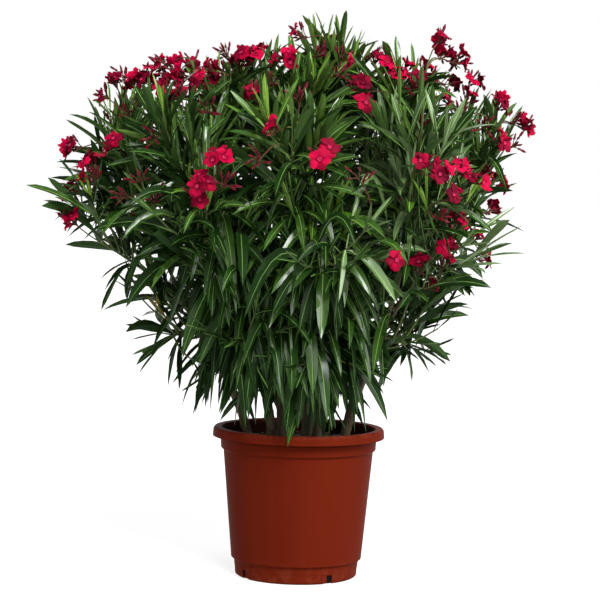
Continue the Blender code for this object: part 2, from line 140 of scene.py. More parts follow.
@dataclass(frozen=True)
class Path:
    """A limb's middle line: a curve from a start to an end, pulled towards a control point."""

    start: Vector
    control: Vector
    end: Vector

    def point(self, share: float) -> Vector:
        """The point at a share of the curve."""
        near = self.start.lerp(self.control, share)
        return near.lerp(self.control.lerp(self.end, share), share)

    def direction(self, share: float) -> Vector:
        """The unit direction of growth at a share of the curve."""
        return (self.control - self.start).lerp(self.end - self.control, share).normalized()

    def spoke(self, share: float, turn: float) -> Vector:
        """The unit vector square to the path, this far round it in radians."""
        along = self.direction(share)
        first = squared(across_from(self.direction(0.0)), along)
        return Quaternion(along, turn) @ first

    def part(self, first: float, last: float) -> Path:
        """The stretch of the curve between two shares."""
        bend = self.start.lerp(self.control, first).lerp(self.control.lerp(self.end, first), last)
        return Path(self.point(first), bend, self.point(last))

    def length(self) -> float:
        """The curve's length, near enough."""
        middle = self.point(0.5)
        return (middle - self.start).length + (self.end - middle).length


# Shader maths


@dataclass(frozen=True)
class Patches:
    """A kind of cloudy noise: patches for each metre, octaves, stretch, and the band that it spans."""

    scale: float
    detail: float
    stretch: Colour = (1.0, 1.0, 1.0)
    band: Band | None = None


class Graph:
    """The node tree of a material or world, with one method that adds any node."""

    def __init__(self, name: str, world: bool = False) -> None:
        """Starts the tree of a new material, or of a new world."""
        self.owner = (bpy.data.worlds if world else bpy.data.materials).new(name)
        self.owner.use_nodes = True
        self.tree = self.owner.node_tree
        self.shader = self.tree.nodes["Background" if world else "Principled BSDF"]

    def node(self, kind: str, settings: dict | None = None, inputs: dict | None = None) -> bpy.types.Node:
        """Adds a node.

        Args:
            kind: The node's type.
            settings: Its own properties, set before its sockets.
            inputs: A value, a Signal or a socket for each named or numbered input.

        Returns:
            The new node.
        """
        made = self.tree.nodes.new(kind)
        for name, value in (settings or {}).items():
            setattr(made, name, value)
        for name, value in (inputs or {}).items():
            self.feed(made.inputs[name], value)
        return made

    def feed(self, socket: bpy.types.NodeSocket, value: Feed) -> None:
        """Sets a socket's value, or links a signal or another socket to it."""
        if isinstance(value, Signal):
            self.tree.links.new(value.socket, socket)
        elif isinstance(value, bpy.types.NodeSocket):
            self.tree.links.new(value, socket)
        elif isinstance(value, tuple) and socket.type == "RGBA":
            socket.default_value = (*value, 1.0)
        else:
            socket.default_value = value

    def place(self, stretch: Colour) -> bpy.types.NodeSocket:
        """Object coordinates, scaled along each axis."""
        place = self.node("ShaderNodeTexCoord").outputs["Object"]
        return self.node("ShaderNodeMapping", None, {"Vector": place, "Scale": stretch}).outputs[0]

    def axis(self, name: str) -> Signal:
        """One object coordinate, as a signal in metres."""
        place = self.node("ShaderNodeTexCoord").outputs["Object"]
        return Signal(self, self.node("ShaderNodeSeparateXYZ", None, {0: place}).outputs[name])

    def patches(self, kind: Patches) -> Signal:
        """Cloudy noise of one kind, from 0 to 1."""
        inputs = {"Vector": self.place(kind.stretch), "Scale": kind.scale, "Detail": kind.detail}
        cloudy = Signal(self, self.node("ShaderNodeTexNoise", None, inputs).outputs[0])
        return cloudy.ramp(*kind.band) if kind.band else cloudy

    def mixed(self, share: Signal, first: Feed, last: Feed) -> bpy.types.NodeSocket:
        """The colour this share of the way from the first to the last."""
        inputs = {MIX_SHARE: share, MIX_FIRST: first, MIX_LAST: last}
        return self.node("ShaderNodeMix", {"data_type": "RGBA"}, inputs).outputs[MIX_COLOUR]

    def bumped(self, height: Signal, strength: float, distance: float) -> None:
        """Gives the shader's normal a relief of this depth in metres."""
        inputs = {"Height": height, "Strength": strength, "Distance": distance}
        self.dressed({"Normal": self.node("ShaderNodeBump", None, inputs).outputs[0]})

    def dressed(self, inputs: dict[str, Feed]) -> bpy.types.ID:
        """Feeds the shader's named inputs, and gives the material or world."""
        for name, value in inputs.items():
            self.feed(self.shader.inputs[name], value)
        return self.owner


class Signal:
    """A number that varies over a surface, to which Python's operators add Math nodes."""

    def __init__(self, graph: Graph, socket: bpy.types.NodeSocket) -> None:
        """Takes a node's output in its graph."""
        self.graph = graph
        self.socket = socket

    def _math(self, operation: str, first: Feed, second: Feed) -> Signal:
        """The outcome of a Math node."""
        made = self.graph.node("ShaderNodeMath", {"operation": operation}, {0: first, 1: second})
        return Signal(self.graph, made.outputs[0])

    def __add__(self, other: Feed) -> Signal:
        """The sum."""
        return self._math("ADD", self, other)

    def __sub__(self, other: Feed) -> Signal:
        """The difference."""
        return self._math("SUBTRACT", self, other)

    def __rsub__(self, other: Feed) -> Signal:
        """The difference, from a number."""
        return self._math("SUBTRACT", other, self)

    def __mul__(self, other: Feed) -> Signal:
        """The product."""
        return self._math("MULTIPLY", self, other)

    __radd__ = __add__
    __rmul__ = __mul__

    def ramp(self, low: float, high: float) -> Signal:
        """Runs smoothly from 0 at the low value to 1 at the high one."""
        inputs = {"Value": self, "From Min": low, "From Max": high}
        settings = {"interpolation_type": "SMOOTHSTEP"}
        return Signal(self.graph, self.graph.node("ShaderNodeMapRange", settings, inputs).outputs[0])


Feed = Union[Signal, bpy.types.NodeSocket, float, tuple]


# Finishes


@dataclass(frozen=True)
class Plain:
    """A finish of one colour, for the small repeated things that are dealt out in tints."""

    name: str
    colour: Colour
    roughness: float
    specular: float = 0.5
    index: float = 1.5

    def material(self) -> bpy.types.Material:
        """The material, made once."""
        return bpy.data.materials.get(self.name) or Graph(self.name).dressed({
            "Base Color": self.colour, "Roughness": self.roughness,
            "Specular IOR Level": self.specular, "IOR": self.index,
        })


@dataclass(frozen=True)
class MouldedPlastic:
    """Terracotta-coloured nursery plastic: satin, faintly mottled, scuffed and dusty at the foot, with
    painted shade on the inner wall below the rim and in a band under the lip.
    """

    colour: Colour = (0.065, 0.0058, 0.0016)
    faded: Colour = (0.076, 0.0078, 0.0026)
    dust: Colour = (0.115, 0.028, 0.014)
    # painted shade: the colour of the inner wall below the rim
    bore_shade: Colour = (0.011, 0.0034, 0.0016)
    # painted shade: the colour of the band just under the lip
    shade: Colour = (0.020, 0.0020, 0.0006)
    roughness: float = 0.46
    index: float = 1.06
    cloud: Patches = Patches(9.0, 4.0, (1.0, 1.0, 0.45), (0.35, 0.72))
    streak: Patches = Patches(60.0, 3.0, (1.0, 1.0, 0.06), (0.45, 0.75))
    grain: Patches = Patches(900.0, 2.0)
    foot_dust: Patches = Patches(70.0, 4.0, band=(0.40, 0.70))
    rim_dust: Patches = Patches(120.0, 4.0, band=(0.42, 0.70))
    foot: Band = (0.004, 0.060)
    rim: Band = (0.286, 0.2955)
    bore: Band = (0.1522, 0.1530)
    bore_foot: Band = (0.2545, 0.2575)
    bore_top: Band = (0.284, 0.294)
    neck: Band = (0.2700, 0.2765)
    lip: Band = (0.2772, 0.2780)
    cloud_fades: float = 0.45
    streak_fades: float = 0.20
    foot_dusts: float = 0.28
    rim_dusts: float = 0.45
    # how much of the painted shade on the inner wall lifts near its top
    shade_lifts_at_top: float = 0.6
    lip_shades: float = 0.75
    cloud_dulls: float = 0.07
    foot_dulls: float = 0.16
    grain_dulls: float = 0.05
    grain_relief: float = 0.3
    streak_relief: float = 0.7
    bump: float = 0.30
    relief: float = 0.0004

    def material(self) -> bpy.types.Material:
        """The material with its pattern nodes."""
        graph = Graph("terracotta_plastic")
        cloud, streak, grain = (graph.patches(kind) for kind in (self.cloud, self.streak, self.grain))
        height, across, back = (graph.axis(name) for name in "ZXY")
        foot = (1.0 - height.ramp(*self.foot)) * graph.patches(self.foot_dust)
        rim = height.ramp(*self.rim) * graph.patches(self.rim_dust)
        base = graph.mixed(cloud * self.cloud_fades + streak * self.streak_fades, self.colour, self.faded)
        base = graph.mixed(foot * self.foot_dusts + rim * self.rim_dusts, base, self.dust)
        # painted shade: the inner wall below the rim is darkened, less so near its top
        within = 1.0 - (across * across + back * back).ramp(*(radius**2 for radius in self.bore))
        within = within * height.ramp(*self.bore_foot)
        base = graph.mixed(within * (1.0 - height.ramp(*self.bore_top) * self.shade_lifts_at_top), base, self.bore_shade)
        # painted shade: a dark band on the wall just under the lip
        under_lip = height.ramp(*self.neck) * (1.0 - height.ramp(*self.lip))
        base = graph.mixed(under_lip * self.lip_shades, base, self.shade)
        dull = self.roughness + cloud * self.cloud_dulls + foot * self.foot_dulls + grain * self.grain_dulls
        graph.bumped(grain * self.grain_relief + streak * self.streak_relief, self.bump, self.relief)
        return graph.dressed({"Base Color": base, "Roughness": dull, "IOR": self.index})


@dataclass(frozen=True)
class PottingMix:
    """Dark moist bark and peat, with paler fibres, and painted shade: near black low down, where it shows
    only through the drain slots.
    """

    colour: Colour = (0.016, 0.010, 0.0065)
    dry: Colour = (0.075, 0.047, 0.030)
    # painted shade: near black, for the soil low down behind the drain slots
    slot_shade: Colour = (0.001, 0.001, 0.001)
    roughness: float = 0.93
    specular: float = 0.08
    crumbs: Patches = Patches(170.0, 6.0)
    crumb_band: Band = (0.35, 0.70)
    drying: Patches = Patches(38.0, 4.0, band=(0.52, 0.72))
    slot_shade_band: Band = (0.08, 0.18)
    bump: float = 0.8
    relief: float = 0.004

    def material(self) -> bpy.types.Material:
        """The material with its pattern nodes."""
        graph = Graph("potting_mix")
        crumbs = graph.patches(self.crumbs)
        top = graph.mixed(graph.patches(self.drying) * crumbs.ramp(*self.crumb_band), self.colour, self.dry)
        # painted shade: near black below the band, where the soil shows only through the drain slots
        base = graph.mixed(graph.axis("Z").ramp(*self.slot_shade_band), self.slot_shade, top)
        graph.bumped(crumbs, self.bump, self.relief)
        inputs = {"Base Color": base, "Roughness": self.roughness, "Specular IOR Level": self.specular}
        return graph.dressed(inputs)


@dataclass(frozen=True)
class Bark:
    """Smooth thin bark, with upright streaks and pale pores, greener up the limb."""

    name: str
    colour: Colour
    streak: Colour
    green: Colour
    greening: Band
    pore: Colour = (0.25, 0.20, 0.13)
    furrow: Colour = (0.030, 0.020, 0.013)
    cloud: Patches = Patches(55.0, 4.0, (1.0, 1.0, 0.5), (0.38, 0.68))
    fibre: Patches = Patches(420.0, 4.0, (1.0, 1.0, 0.10))
    fibre_band: Band = (0.30, 0.75)
    pores: Patches = Patches(330.0, 1.0, (1.0, 1.0, 0.6), (0.66, 0.74))
    cloud_lifts: float = 0.08
    pore_share: float = 0.45
    furrow_share: float = 0.35
    roughness: float = 0.66
    cloud_dulls: float = 0.14
    specular: float = 0.12
    pore_relief: float = 0.8
    bump: float = 0.5
    relief: float = 0.0006

    def material(self) -> bpy.types.Material:
        """The material with its pattern nodes."""
        graph = Graph(self.name)
        cloud, fibre, pores = (graph.patches(kind) for kind in (self.cloud, self.fibre, self.pores))
        young = (graph.axis("Z") + cloud * self.cloud_lifts).ramp(*self.greening)
        base = graph.mixed(young, graph.mixed(cloud, self.colour, self.streak), self.green)
        base = graph.mixed(pores * self.pore_share, base, self.pore)
        base = graph.mixed(fibre.ramp(*self.fibre_band) * self.furrow_share, base, self.furrow)
        graph.bumped(fibre + pores * self.pore_relief, self.bump, self.relief)
        dull = self.roughness + cloud * self.cloud_dulls
        return graph.dressed({"Base Color": base, "Roughness": dull, "Specular IOR Level": self.specular})


class Tint(Enum):
    """The greens that leaves are dealt out in: deep to bright serve partly as painted shade and light, the
    greyer green as painted sheen, young and fading as the leaves' own colours.
    """

    DEEP = "deep"
    DARK = "dark"
    MIDDLE = "middle"
    BRIGHT = "bright"
    SILVER = "silver"
    YOUNG = "young"
    FADING = "fading"


@dataclass(frozen=True)
class LeafLook:
    """The colours of one tint's blade, underside and rib, and the blade's gloss."""

    blade: Colour
    under: Colour
    rib: Colour
    gloss: float
    shine: float = 0.25
    under_gloss: float = 0.15
    under_shine: float = 0.60


LEAF_LOOKS = {
    Tint.DEEP: LeafLook((0.0050, 0.0168, 0.0024), (0.011, 0.029, 0.006), (0.095, 0.175, 0.044), 0.14, 0.28),
    Tint.DARK: LeafLook((0.0090, 0.0280, 0.0034), (0.019, 0.044, 0.009), (0.130, 0.225, 0.058), 0.30, 0.27),
    Tint.MIDDLE: LeafLook((0.0180, 0.049, 0.0055), (0.036, 0.073, 0.016), (0.140, 0.230, 0.062), 0.66),
    Tint.BRIGHT: LeafLook((0.0300, 0.077, 0.0056), (0.055, 0.100, 0.017), (0.180, 0.280, 0.070), 0.72),
    # painted sheen: a lighter, greyer green for leaves on the right
    Tint.SILVER: LeafLook((0.0600, 0.108, 0.0320), (0.090, 0.140, 0.054), (0.200, 0.280, 0.120), 0.90, 0.28),
    Tint.YOUNG: LeafLook((0.0800, 0.165, 0.0110), (0.110, 0.195, 0.024), (0.260, 0.390, 0.100), 0.70),
    Tint.FADING: LeafLook((0.1000, 0.085, 0.0080), (0.130, 0.110, 0.018), (0.200, 0.190, 0.050), 0.50),
}

# one crimson at four darknesses: flowers are dealt them at random as tone that varies, and painted shade
# makes the throat end and some petals one step darker
PETALS = (
    Plain("petal_bright", (0.305, 0.0007, 0.026), 0.62, 0.04),
    Plain("petal_crimson", (0.215, 0.0005, 0.018), 0.62, 0.04),
    Plain("petal_deep", (0.115, 0.0004, 0.011), 0.62, 0.04),
    Plain("petal_dark", (0.062, 0.0003, 0.007), 0.62, 0.04),
)
THROATS = (Plain("throat_pink", (0.420, 0.020, 0.085), 0.50, 0.2),)
BUDS = (
    Plain("bud_maroon", (0.078, 0.0022, 0.0090), 0.55, 0.12),
    Plain("bud_young", (0.050, 0.0090, 0.0070), 0.55, 0.12),
)
CALYCES = (Plain("calyx_brown", (0.060, 0.0110, 0.0090), 0.60, 0.12),)
STALKS = (
    Plain("stalk_brown", (0.052, 0.0210, 0.0100), 0.60, 0.12),
    Plain("stalk_green", (0.050, 0.0600, 0.0150), 0.55, 0.15),
)
CHIPS = (
    Plain("chip_dark", (0.020, 0.012, 0.008), 0.90, 0.1),
    Plain("chip_brown", (0.036, 0.020, 0.012), 0.88, 0.1),
    Plain("chip_dry", (0.070, 0.044, 0.027), 0.88, 0.1),
)
TWIG_GREEN = Plain("twig_green", (0.052, 0.075, 0.020), 0.55, 0.15)
STEM_BARK = Bark(
    "stem_bark", (0.036, 0.026, 0.013), (0.072, 0.056, 0.030), (0.050, 0.056, 0.020), (0.40, 0.75)
)
BOUGH_BARK = Bark(
    "bough_bark", (0.070, 0.058, 0.030), (0.120, 0.110, 0.058), (0.060, 0.085, 0.026), (0.55, 0.95)
)


Finish = Union[Plain, MouldedPlastic, PottingMix, Bark]


# Meshes


def placed(name: str, data: bpy.types.ID) -> bpy.types.Object:
    """A new object in the scene."""
    thing = bpy.data.objects.new(name, data)
    bpy.context.scene.collection.objects.link(thing)
    return thing


def add_piece(name: str, mesh: bpy.types.Mesh, finishes: Iterable[Finish]) -> bpy.types.Object:
    """Adds a piece of the plant that rides on its one body.

    Args:
        name: The piece's name.
        mesh: Its mesh, in the frame's own place.
        finishes: Its finishes, in the order of the faces' numbers.

    Returns:
        The new object.
    """
    for finish in finishes:
        mesh.materials.append(finish.material())
    piece = placed(name, mesh)
    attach(piece, BODY)
    log.info("%s: %d faces", name, len(mesh.polygons))
    return piece


def poured(mesh: bmesh.types.BMesh, name: str) -> bpy.types.Mesh:
    """A mesh from a bmesh, which it frees."""
    data = bpy.data.meshes.new(name)
    mesh.to_mesh(data)
    mesh.free()
    return data


def joined(whole: bmesh.types.BMesh, part: bmesh.types.BMesh) -> None:
    """Adds a bmesh to another, and frees it."""
    data = poured(part, "part")
    whole.from_mesh(data)
    bpy.data.meshes.remove(data)


def smoothed(data: bpy.types.Mesh, degrees: float) -> bpy.types.Mesh:
    """The mesh shaded smooth, but for the edges past an angle in degrees."""
    data.shade_smooth()
    data.set_sharp_from_angle(angle=math.radians(degrees))
    return data


def finished(mesh: bmesh.types.BMesh, name: str, degrees: float) -> bpy.types.Mesh:
    """A smooth mesh from a closed bmesh, with its faces turned outwards."""
    bmesh.ops.recalc_face_normals(mesh, faces=mesh.faces)
    return smoothed(poured(mesh, name), degrees)


class Template:
    """A small closed shape, as arrays that copies are made from."""

    def __init__(self, mesh: bmesh.types.BMesh) -> None:
        """Reads a bmesh, with its faces' material numbers, and frees it."""
        bmesh.ops.recalc_face_normals(mesh, faces=mesh.faces)
        mesh.verts.index_update()
        self.points = np.array([vertex.co for vertex in mesh.verts])
        self.faces = [[vertex.index for vertex in face.verts] for face in mesh.faces]
        self.shades = np.array([face.material_index for face in mesh.faces])
        mesh.free()


class Batch:
    """Many small closed shapes, gathered to be joined as one mesh."""

    def __init__(self, sharp: float = 60.0) -> None:
        """Starts an empty batch whose edges past an angle in degrees are shaded sharp."""
        self.sharp = sharp
        self.points: list[np.ndarray] = []
        self.corners: list[np.ndarray] = []
        self.sizes: list[np.ndarray] = []
        self.shades: list[np.ndarray] = []
        self.count = 0

    def add(self, points: np.ndarray, faces: Sequence[Sequence[int]], shades: int | Sequence[int]) -> None:
        """Adds copies of a shape.

        Args:
            points: The places of each copy's points, as copies by points by 3.
            faces: The points of each face, the same in every copy.
            shades: The material number of all the faces, or of each.
        """
        copies, number = points.shape[:2]
        corners = np.concatenate([np.asarray(face) for face in faces])
        starts = self.count + np.arange(copies)[:, None] * number
        self.points.append(points.reshape(-1, 3))
        self.corners.append((corners[None, :] + starts).ravel())
        self.sizes.append(np.tile([len(face) for face in faces], copies))
        self.shades.append(np.tile(np.broadcast_to(shades, len(faces)), copies))
        self.count += copies * number

    def place(self, template: Template, matrices: Sequence[Matrix], shade: int = 0) -> None:
        """Adds a template's copies, each moved by a matrix, with this added to its material numbers."""
        if not matrices:
            return
        moves = np.array([[list(row) for row in matrix] for matrix in matrices])
        points = np.einsum("nij,pj->npi", moves[:, :3, :3], template.points) + moves[:, None, :3, 3]
        self.add(points, template.faces, template.shades + shade)

    def mesh(self, name: str) -> bpy.types.Mesh:
        """Joins the batch as one mesh.

        Args:
            name: The name of the mesh.

        Returns:
            The mesh, with its material numbers and its smooth shading.
        """
        points = np.concatenate(self.points)
        corners = np.concatenate(self.corners)
        sizes = np.concatenate(self.sizes)
        data = bpy.data.meshes.new(name)
        data.vertices.add(len(points))
        data.vertices.foreach_set("co", points.astype(np.float32).ravel())
        data.loops.add(len(corners))
        data.loops.foreach_set("vertex_index", corners.astype(np.int32))
        data.polygons.add(len(sizes))
        data.polygons.foreach_set("loop_start", (np.cumsum(sizes) - sizes).astype(np.int32))
        data.polygons.foreach_set("material_index", np.concatenate(self.shades).astype(np.int32))
        data.update(calc_edges=True)
        data.validate()
        return smoothed(data, self.sharp)


def ring_faces(rings: int, sides: int) -> list[tuple[int, ...]]:
    """The faces of a closed tube whose rings of points follow each other."""
    faces: list[tuple[int, ...]] = [tuple(range(sides - 1, -1, -1))]
    for ring in range(rings - 1):
        for side in range(sides):
            after = (side + 1) % sides
            low, high = ring * sides, (ring + 1) * sides
            faces.append((low + side, low + after, high + after, high + side))
    faces.append(tuple(range((rings - 1) * sides, rings * sides)))
    return faces


@dataclass(frozen=True)
class Twig:
    """A fine limb: its path and its radius at both ends."""

    path: Path
    thick: float
    thin: float


def add_twigs(batch: Batch, twigs: Sequence[Twig], sides: int, rings: int, shade: int) -> None:
    """Adds thin tapering tubes with rounded tips to a batch.

    Args:
        batch: What they are added to.
        twigs: The tubes.
        sides: How many sides each has.
        rings: How many rings each has, with the tip's.
        shade: Their material number.
    """
    if not twigs:
        return
    places = np.empty((len(twigs), rings * sides, 3))
    for number, twig in enumerate(twigs):
        for ring in range(rings):
            share = ring / (rings - 1)
            radius = blended(twig.thick, twig.thin, share)
            middle = twig.path.point(share)
            for side in range(sides):
                spoke = twig.path.spoke(share, FULL_TURN * side / sides)
                places[number, ring * sides + side] = middle + spoke * radius
    batch.add(places, ring_faces(rings, sides), shade)


def turned(outline: Sequence[Band], steps: int) -> bmesh.types.BMesh:
    """A solid turned round +Z.

    Args:
        outline: Its section as (radius, height), from the axis and back to it.
        steps: How many steps the full turn takes.

    Returns:
        The closed solid.
    """
    mesh = bmesh.new()
    points = [mesh.verts.new((radius, 0.0, height)) for radius, height in outline]
    edges = [mesh.edges.new(pair) for pair in zip(points, points[1:])]
    bmesh.ops.spin(mesh, geom=points + edges, axis=UP, angle=FULL_TURN, steps=steps, use_merge=True)
    bmesh.ops.remove_doubles(mesh, verts=mesh.verts, dist=TINY)
    bmesh.ops.recalc_face_normals(mesh, faces=mesh.faces)
    return mesh


def rounded(corners: Sequence[Place], steps: int = 4) -> list[Band]:
    """An outline whose corners are rounded.

    Args:
        corners: Each corner as (radius, height, fillet).
        steps: Stretches in each rounded corner.

    Returns:
        The outline's points.
    """
    outline = [corners[0][:2]]
    for before, corner, after in zip(corners, corners[1:], corners[2:]):
        place, fillet = Vector(corner[:2]), corner[2]
        back, ahead = Vector(before[:2]) - place, Vector(after[:2]) - place
        if fillet <= 0.0:
            outline.append(corner[:2])
            continue
        room = min(back.length, ahead.length) * FILLET_MOST
        room = min(fillet / math.tan(back.angle(ahead) / 2), room)
        first, last = place + back.normalized() * room, place + ahead.normalized() * room
        for step in range(steps + 1):
            share = step / steps
            near = first.lerp(place, share)
            outline.append(tuple(near.lerp(place.lerp(last, share), share)))
    outline.append(corners[-1][:2])
    return outline


# Pot and soil


@dataclass
class Pot:
    """A round tapered nursery pot with a rolled lip, a neck band, a stepped foot and drain slots."""

    height: float = 0.295
    lip_depth: float = 0.018
    floor: float = 0.0045
    steps: int = 144
    slots: int = 4
    first_slot: float = -57.0
    slot_width: float = 0.013
    slot_top: float = 0.018
    gap_width: float = 0.022
    gap_top: float = 0.003
    slot_inner: float = 0.110
    slot_outer: float = 0.135
    sharp: float = 35.0
    finish: MouldedPlastic = MouldedPlastic()

    def outline(self) -> list[Band]:
        """The section's outline, from the middle of the underside to the middle of the floor."""
        top, lip = self.height, self.height - self.lip_depth
        outside = (
            (0.0000, 0.0000, 0.0), (0.1150, 0.0000, 0.0030), (0.1205, 0.0035, 0.0030),
            (0.1215, 0.0190, 0.0), (0.1221, 0.0196, 0.0), (0.1235, 0.0330, 0.0008),
            (0.1290, 0.0365, 0.0012), (0.1483, 0.2500, 0.0020), (0.1533, 0.2535, 0.0010),
            (0.1548, lip, 0.0008), (0.1700, lip, 0.0006), (0.1690, top - 0.0040, 0.0012),
            (0.1660, top, 0.0010), (0.1520, top - 0.0004, 0.0008),
        )
        inside = (
            (0.1502, 0.2560, 0.0010), (0.1455, 0.2480, 0.0010), (0.1260, 0.0400, 0.0010),
            (0.1204, 0.0345, 0.0010), (0.1176, self.floor, 0.0), (0.0, self.floor, 0.0),
        )
        return rounded(outside + inside)

    def cutter(self, number: int, width: float, top: float) -> bpy.types.Object:
        """A box through the foot of the wall, for the slot of this number."""
        mesh = bmesh.new()
        bmesh.ops.create_cube(mesh, size=1.0)
        depth = self.slot_outer - self.slot_inner
        bmesh.ops.scale(mesh, verts=mesh.verts, vec=(depth, width, 2 * top))
        bmesh.ops.translate(mesh, verts=mesh.verts, vec=(self.slot_inner + depth / 2, 0.0, 0.0))
        turn = Matrix.Rotation(math.radians(self.first_slot) + number * FULL_TURN / self.slots, 3, "Z")
        bmesh.ops.rotate(mesh, verts=mesh.verts, matrix=turn)
        return bpy.data.objects.new("slot_cutter", poured(mesh, "slot_cutter"))

    def build(self) -> None:
        """Turns the pot, cuts its slots and dresses it."""
        data = finished(turned(self.outline(), self.steps), "pot_shell", self.sharp)
        piece = add_piece("pot_shell", data, [self.finish])
        helpers = bpy.data.collections.new("slot_cutters")
        for number in range(self.slots):
            for width, top in (self.slot_width, self.slot_top), (self.gap_width, self.gap_top):
                helpers.objects.link(self.cutter(number, width, top))
        bpy.context.scene.collection.children.link(helpers)
        cut = piece.modifiers.new("Slots", "BOOLEAN")
        cut.operation, cut.operand_type, cut.collection = "DIFFERENCE", "COLLECTION", helpers
        bpy.context.view_layer.update()
        graph = bpy.context.evaluated_depsgraph_get()
        piece.data = bpy.data.meshes.new_from_object(piece.evaluated_get(graph))
        piece.modifiers.clear()
        for cutter in list(helpers.objects):
            bpy.data.objects.remove(cutter)
        bpy.data.collections.remove(helpers)
        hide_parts("pot")


@dataclass
class Soil:
    """The potting mix: a lumpy top that fills the pot, strewn with chips of bark."""

    level: float = 0.267
    gap: float = 0.0003
    floor: float = 0.0045
    radius: float = 0.1498
    wall: tuple[Band, ...] = ((0.1201, 0.0345), (0.1257, 0.0400), (0.1452, 0.2480), (0.1498, 0.2560))
    foot: float = 0.1173
    rings: int = 26
    steps: int = 96
    sharp: float = 40.0
    relief: float = 0.0035
    lumps: tuple[Place, ...] = ((28.0, 0.3, 0.6), (95.0, 7.1, 0.5))
    seed: int = 5
    chips: int = 620
    chip_shades: tuple[int, ...] = (0, 0, 0, 1, 1, 1, 2)
    chip_length: Band = (0.005, 0.017)
    chip_width: Band = (0.35, 0.80)
    chip_thickness: Band = (0.12, 0.35)
    chip_crook: Band = (-0.22, 0.22)
    chip_rise: Band = (0.0, 0.45)
    chip_tilt: Band = (0.0, 28.0)
    chip_sharp: float = 25.0
    chip_edge: float = 0.012
    finish: PottingMix = PottingMix()

    def outline(self) -> list[Band]:
        """The section's outline, with closely spaced points over the top."""
        low = self.floor + self.gap
        top = [(self.radius * (1.0 - ring / self.rings), self.level) for ring in range(self.rings + 1)]
        return [(0.0, low), (self.foot, low), *self.wall, *top]

    def lump(self, place: Vector) -> float:
        """How far the top rises or sinks at a place."""
        return self.relief * sum(
            share * noise.noise(Vector((place.x * scale, place.y * scale, layer)))
            for scale, layer, share in self.lumps
        )

    def build(self) -> None:
        """Turns the soil, gives its top relief and strews the chips."""
        mesh = turned(self.outline(), self.steps)
        for vertex in mesh.verts:
            if vertex.co.z > self.level - self.gap:
                vertex.co.z += self.lump(vertex.co)
        piece = add_piece("potting_mix", finished(mesh, "potting_mix", self.sharp), [self.finish])
        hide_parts("soil")
        dealer = random.Random(self.seed)
        batch = Batch(self.chip_sharp)
        for number in range(self.chips):
            self.add_chip(batch, dealer, self.chip_shades[number % len(self.chip_shades)])
        add_piece("bark_chips", batch.mesh("bark_chips"), CHIPS)

    def add_chip(self, batch: Batch, dealer: random.Random, shade: int) -> None:
        """Adds one crooked flake of bark that lies on the soil.

        Args:
            batch: The batch that takes it.
            dealer: The seeded draws.
            shade: The number of its material.
        """
        mesh = bmesh.new()
        bmesh.ops.create_cube(mesh, size=1.0)
        for vertex in mesh.verts:
            vertex.co += Vector([dealer.uniform(*self.chip_crook) for _ in range(3)])
        length = dealer.uniform(*self.chip_length)
        width = length * dealer.uniform(*self.chip_width)
        thickness = length * dealer.uniform(*self.chip_thickness)
        bmesh.ops.scale(mesh, verts=mesh.verts, vec=(length, width, thickness))
        heading = dealer.uniform(0, 360)
        place = polar(heading, (self.radius - self.chip_edge) * math.sqrt(dealer.random()), self.level)
        place.z += self.lump(place) + thickness * dealer.uniform(*self.chip_rise)
        axis = polar(dealer.uniform(0, 360), 1.0, 0.0)
        turn = Quaternion(axis, math.radians(dealer.uniform(*self.chip_tilt)))
        turn = turn @ Quaternion(UP, dealer.uniform(0, FULL_TURN))
        batch.place(Template(mesh), [Matrix.Translation(place) @ turn.to_matrix().to_4x4()], shade)


# The plan of the plant, which the solids share


@dataclass(frozen=True)
class Head:
    """The middle of one mass of foliage. Headings are degrees from +X, anticlockwise from above."""

    name: str
    heading: float
    reach: float
    height: float

    def place(self) -> Vector:
        """The head's middle."""
        return polar(self.heading, self.reach, self.height)


@dataclass(frozen=True)
class StemPlan:
    """A stem from the soil to its fork, and the three heads over it."""

    name: str
    heading: float
    foot: float
    reach: float
    height: float
    heads: tuple[Head, Head, Head]


STEMS = (
    StemPlan("left", 181, 0.098, 0.190, 0.470, (
        Head("upper", 172, 0.370, 0.840), Head("outer", 185, 0.400, 0.655), Head("low", 190, 0.270, 0.465))),
    StemPlan("front_left", 231, 0.080, 0.135, 0.460, (
        Head("upper", 217, 0.325, 0.870), Head("outer", 231, 0.340, 0.690), Head("low", 239, 0.210, 0.485))),
    StemPlan("front", 281, 0.072, 0.095, 0.460, (
        Head("upper", 264, 0.305, 0.835), Head("outer", 278, 0.320, 0.650), Head("low", 286, 0.185, 0.445))),
    StemPlan("front_right", 332, 0.100, 0.165, 0.455, (
        Head("upper", 309, 0.335, 0.860), Head("outer", 322, 0.350, 0.685), Head("low", 335, 0.225, 0.475))),
    StemPlan("back_right", 24, 0.100, 0.160, 0.460, (
        Head("upper", 357, 0.375, 0.840), Head("outer", 8, 0.355, 0.650), Head("low", 22, 0.235, 0.455))),
    StemPlan("back", 77, 0.085, 0.140, 0.470, (
        Head("upper", 46, 0.340, 0.860), Head("outer", 64, 0.345, 0.685), Head("low", 76, 0.215, 0.480))),
    StemPlan("back_left", 129, 0.085, 0.150, 0.460, (
        Head("upper", 130, 0.335, 0.850), Head("outer", 124, 0.350, 0.660), Head("low", 131, 0.225, 0.460))),
    StemPlan("inner_left", 165, 0.034, 0.070, 0.630, (
        Head("top", 203, 0.195, 0.950), Head("crest", 140, 0.150, 0.965), Head("heart", 268, 0.085, 0.905))),
    StemPlan("inner_right", 12, 0.036, 0.070, 0.630, (
        Head("top", 340, 0.215, 0.955), Head("crest", 50, 0.075, 0.990), Head("heart", 84, 0.255, 0.925))),
)

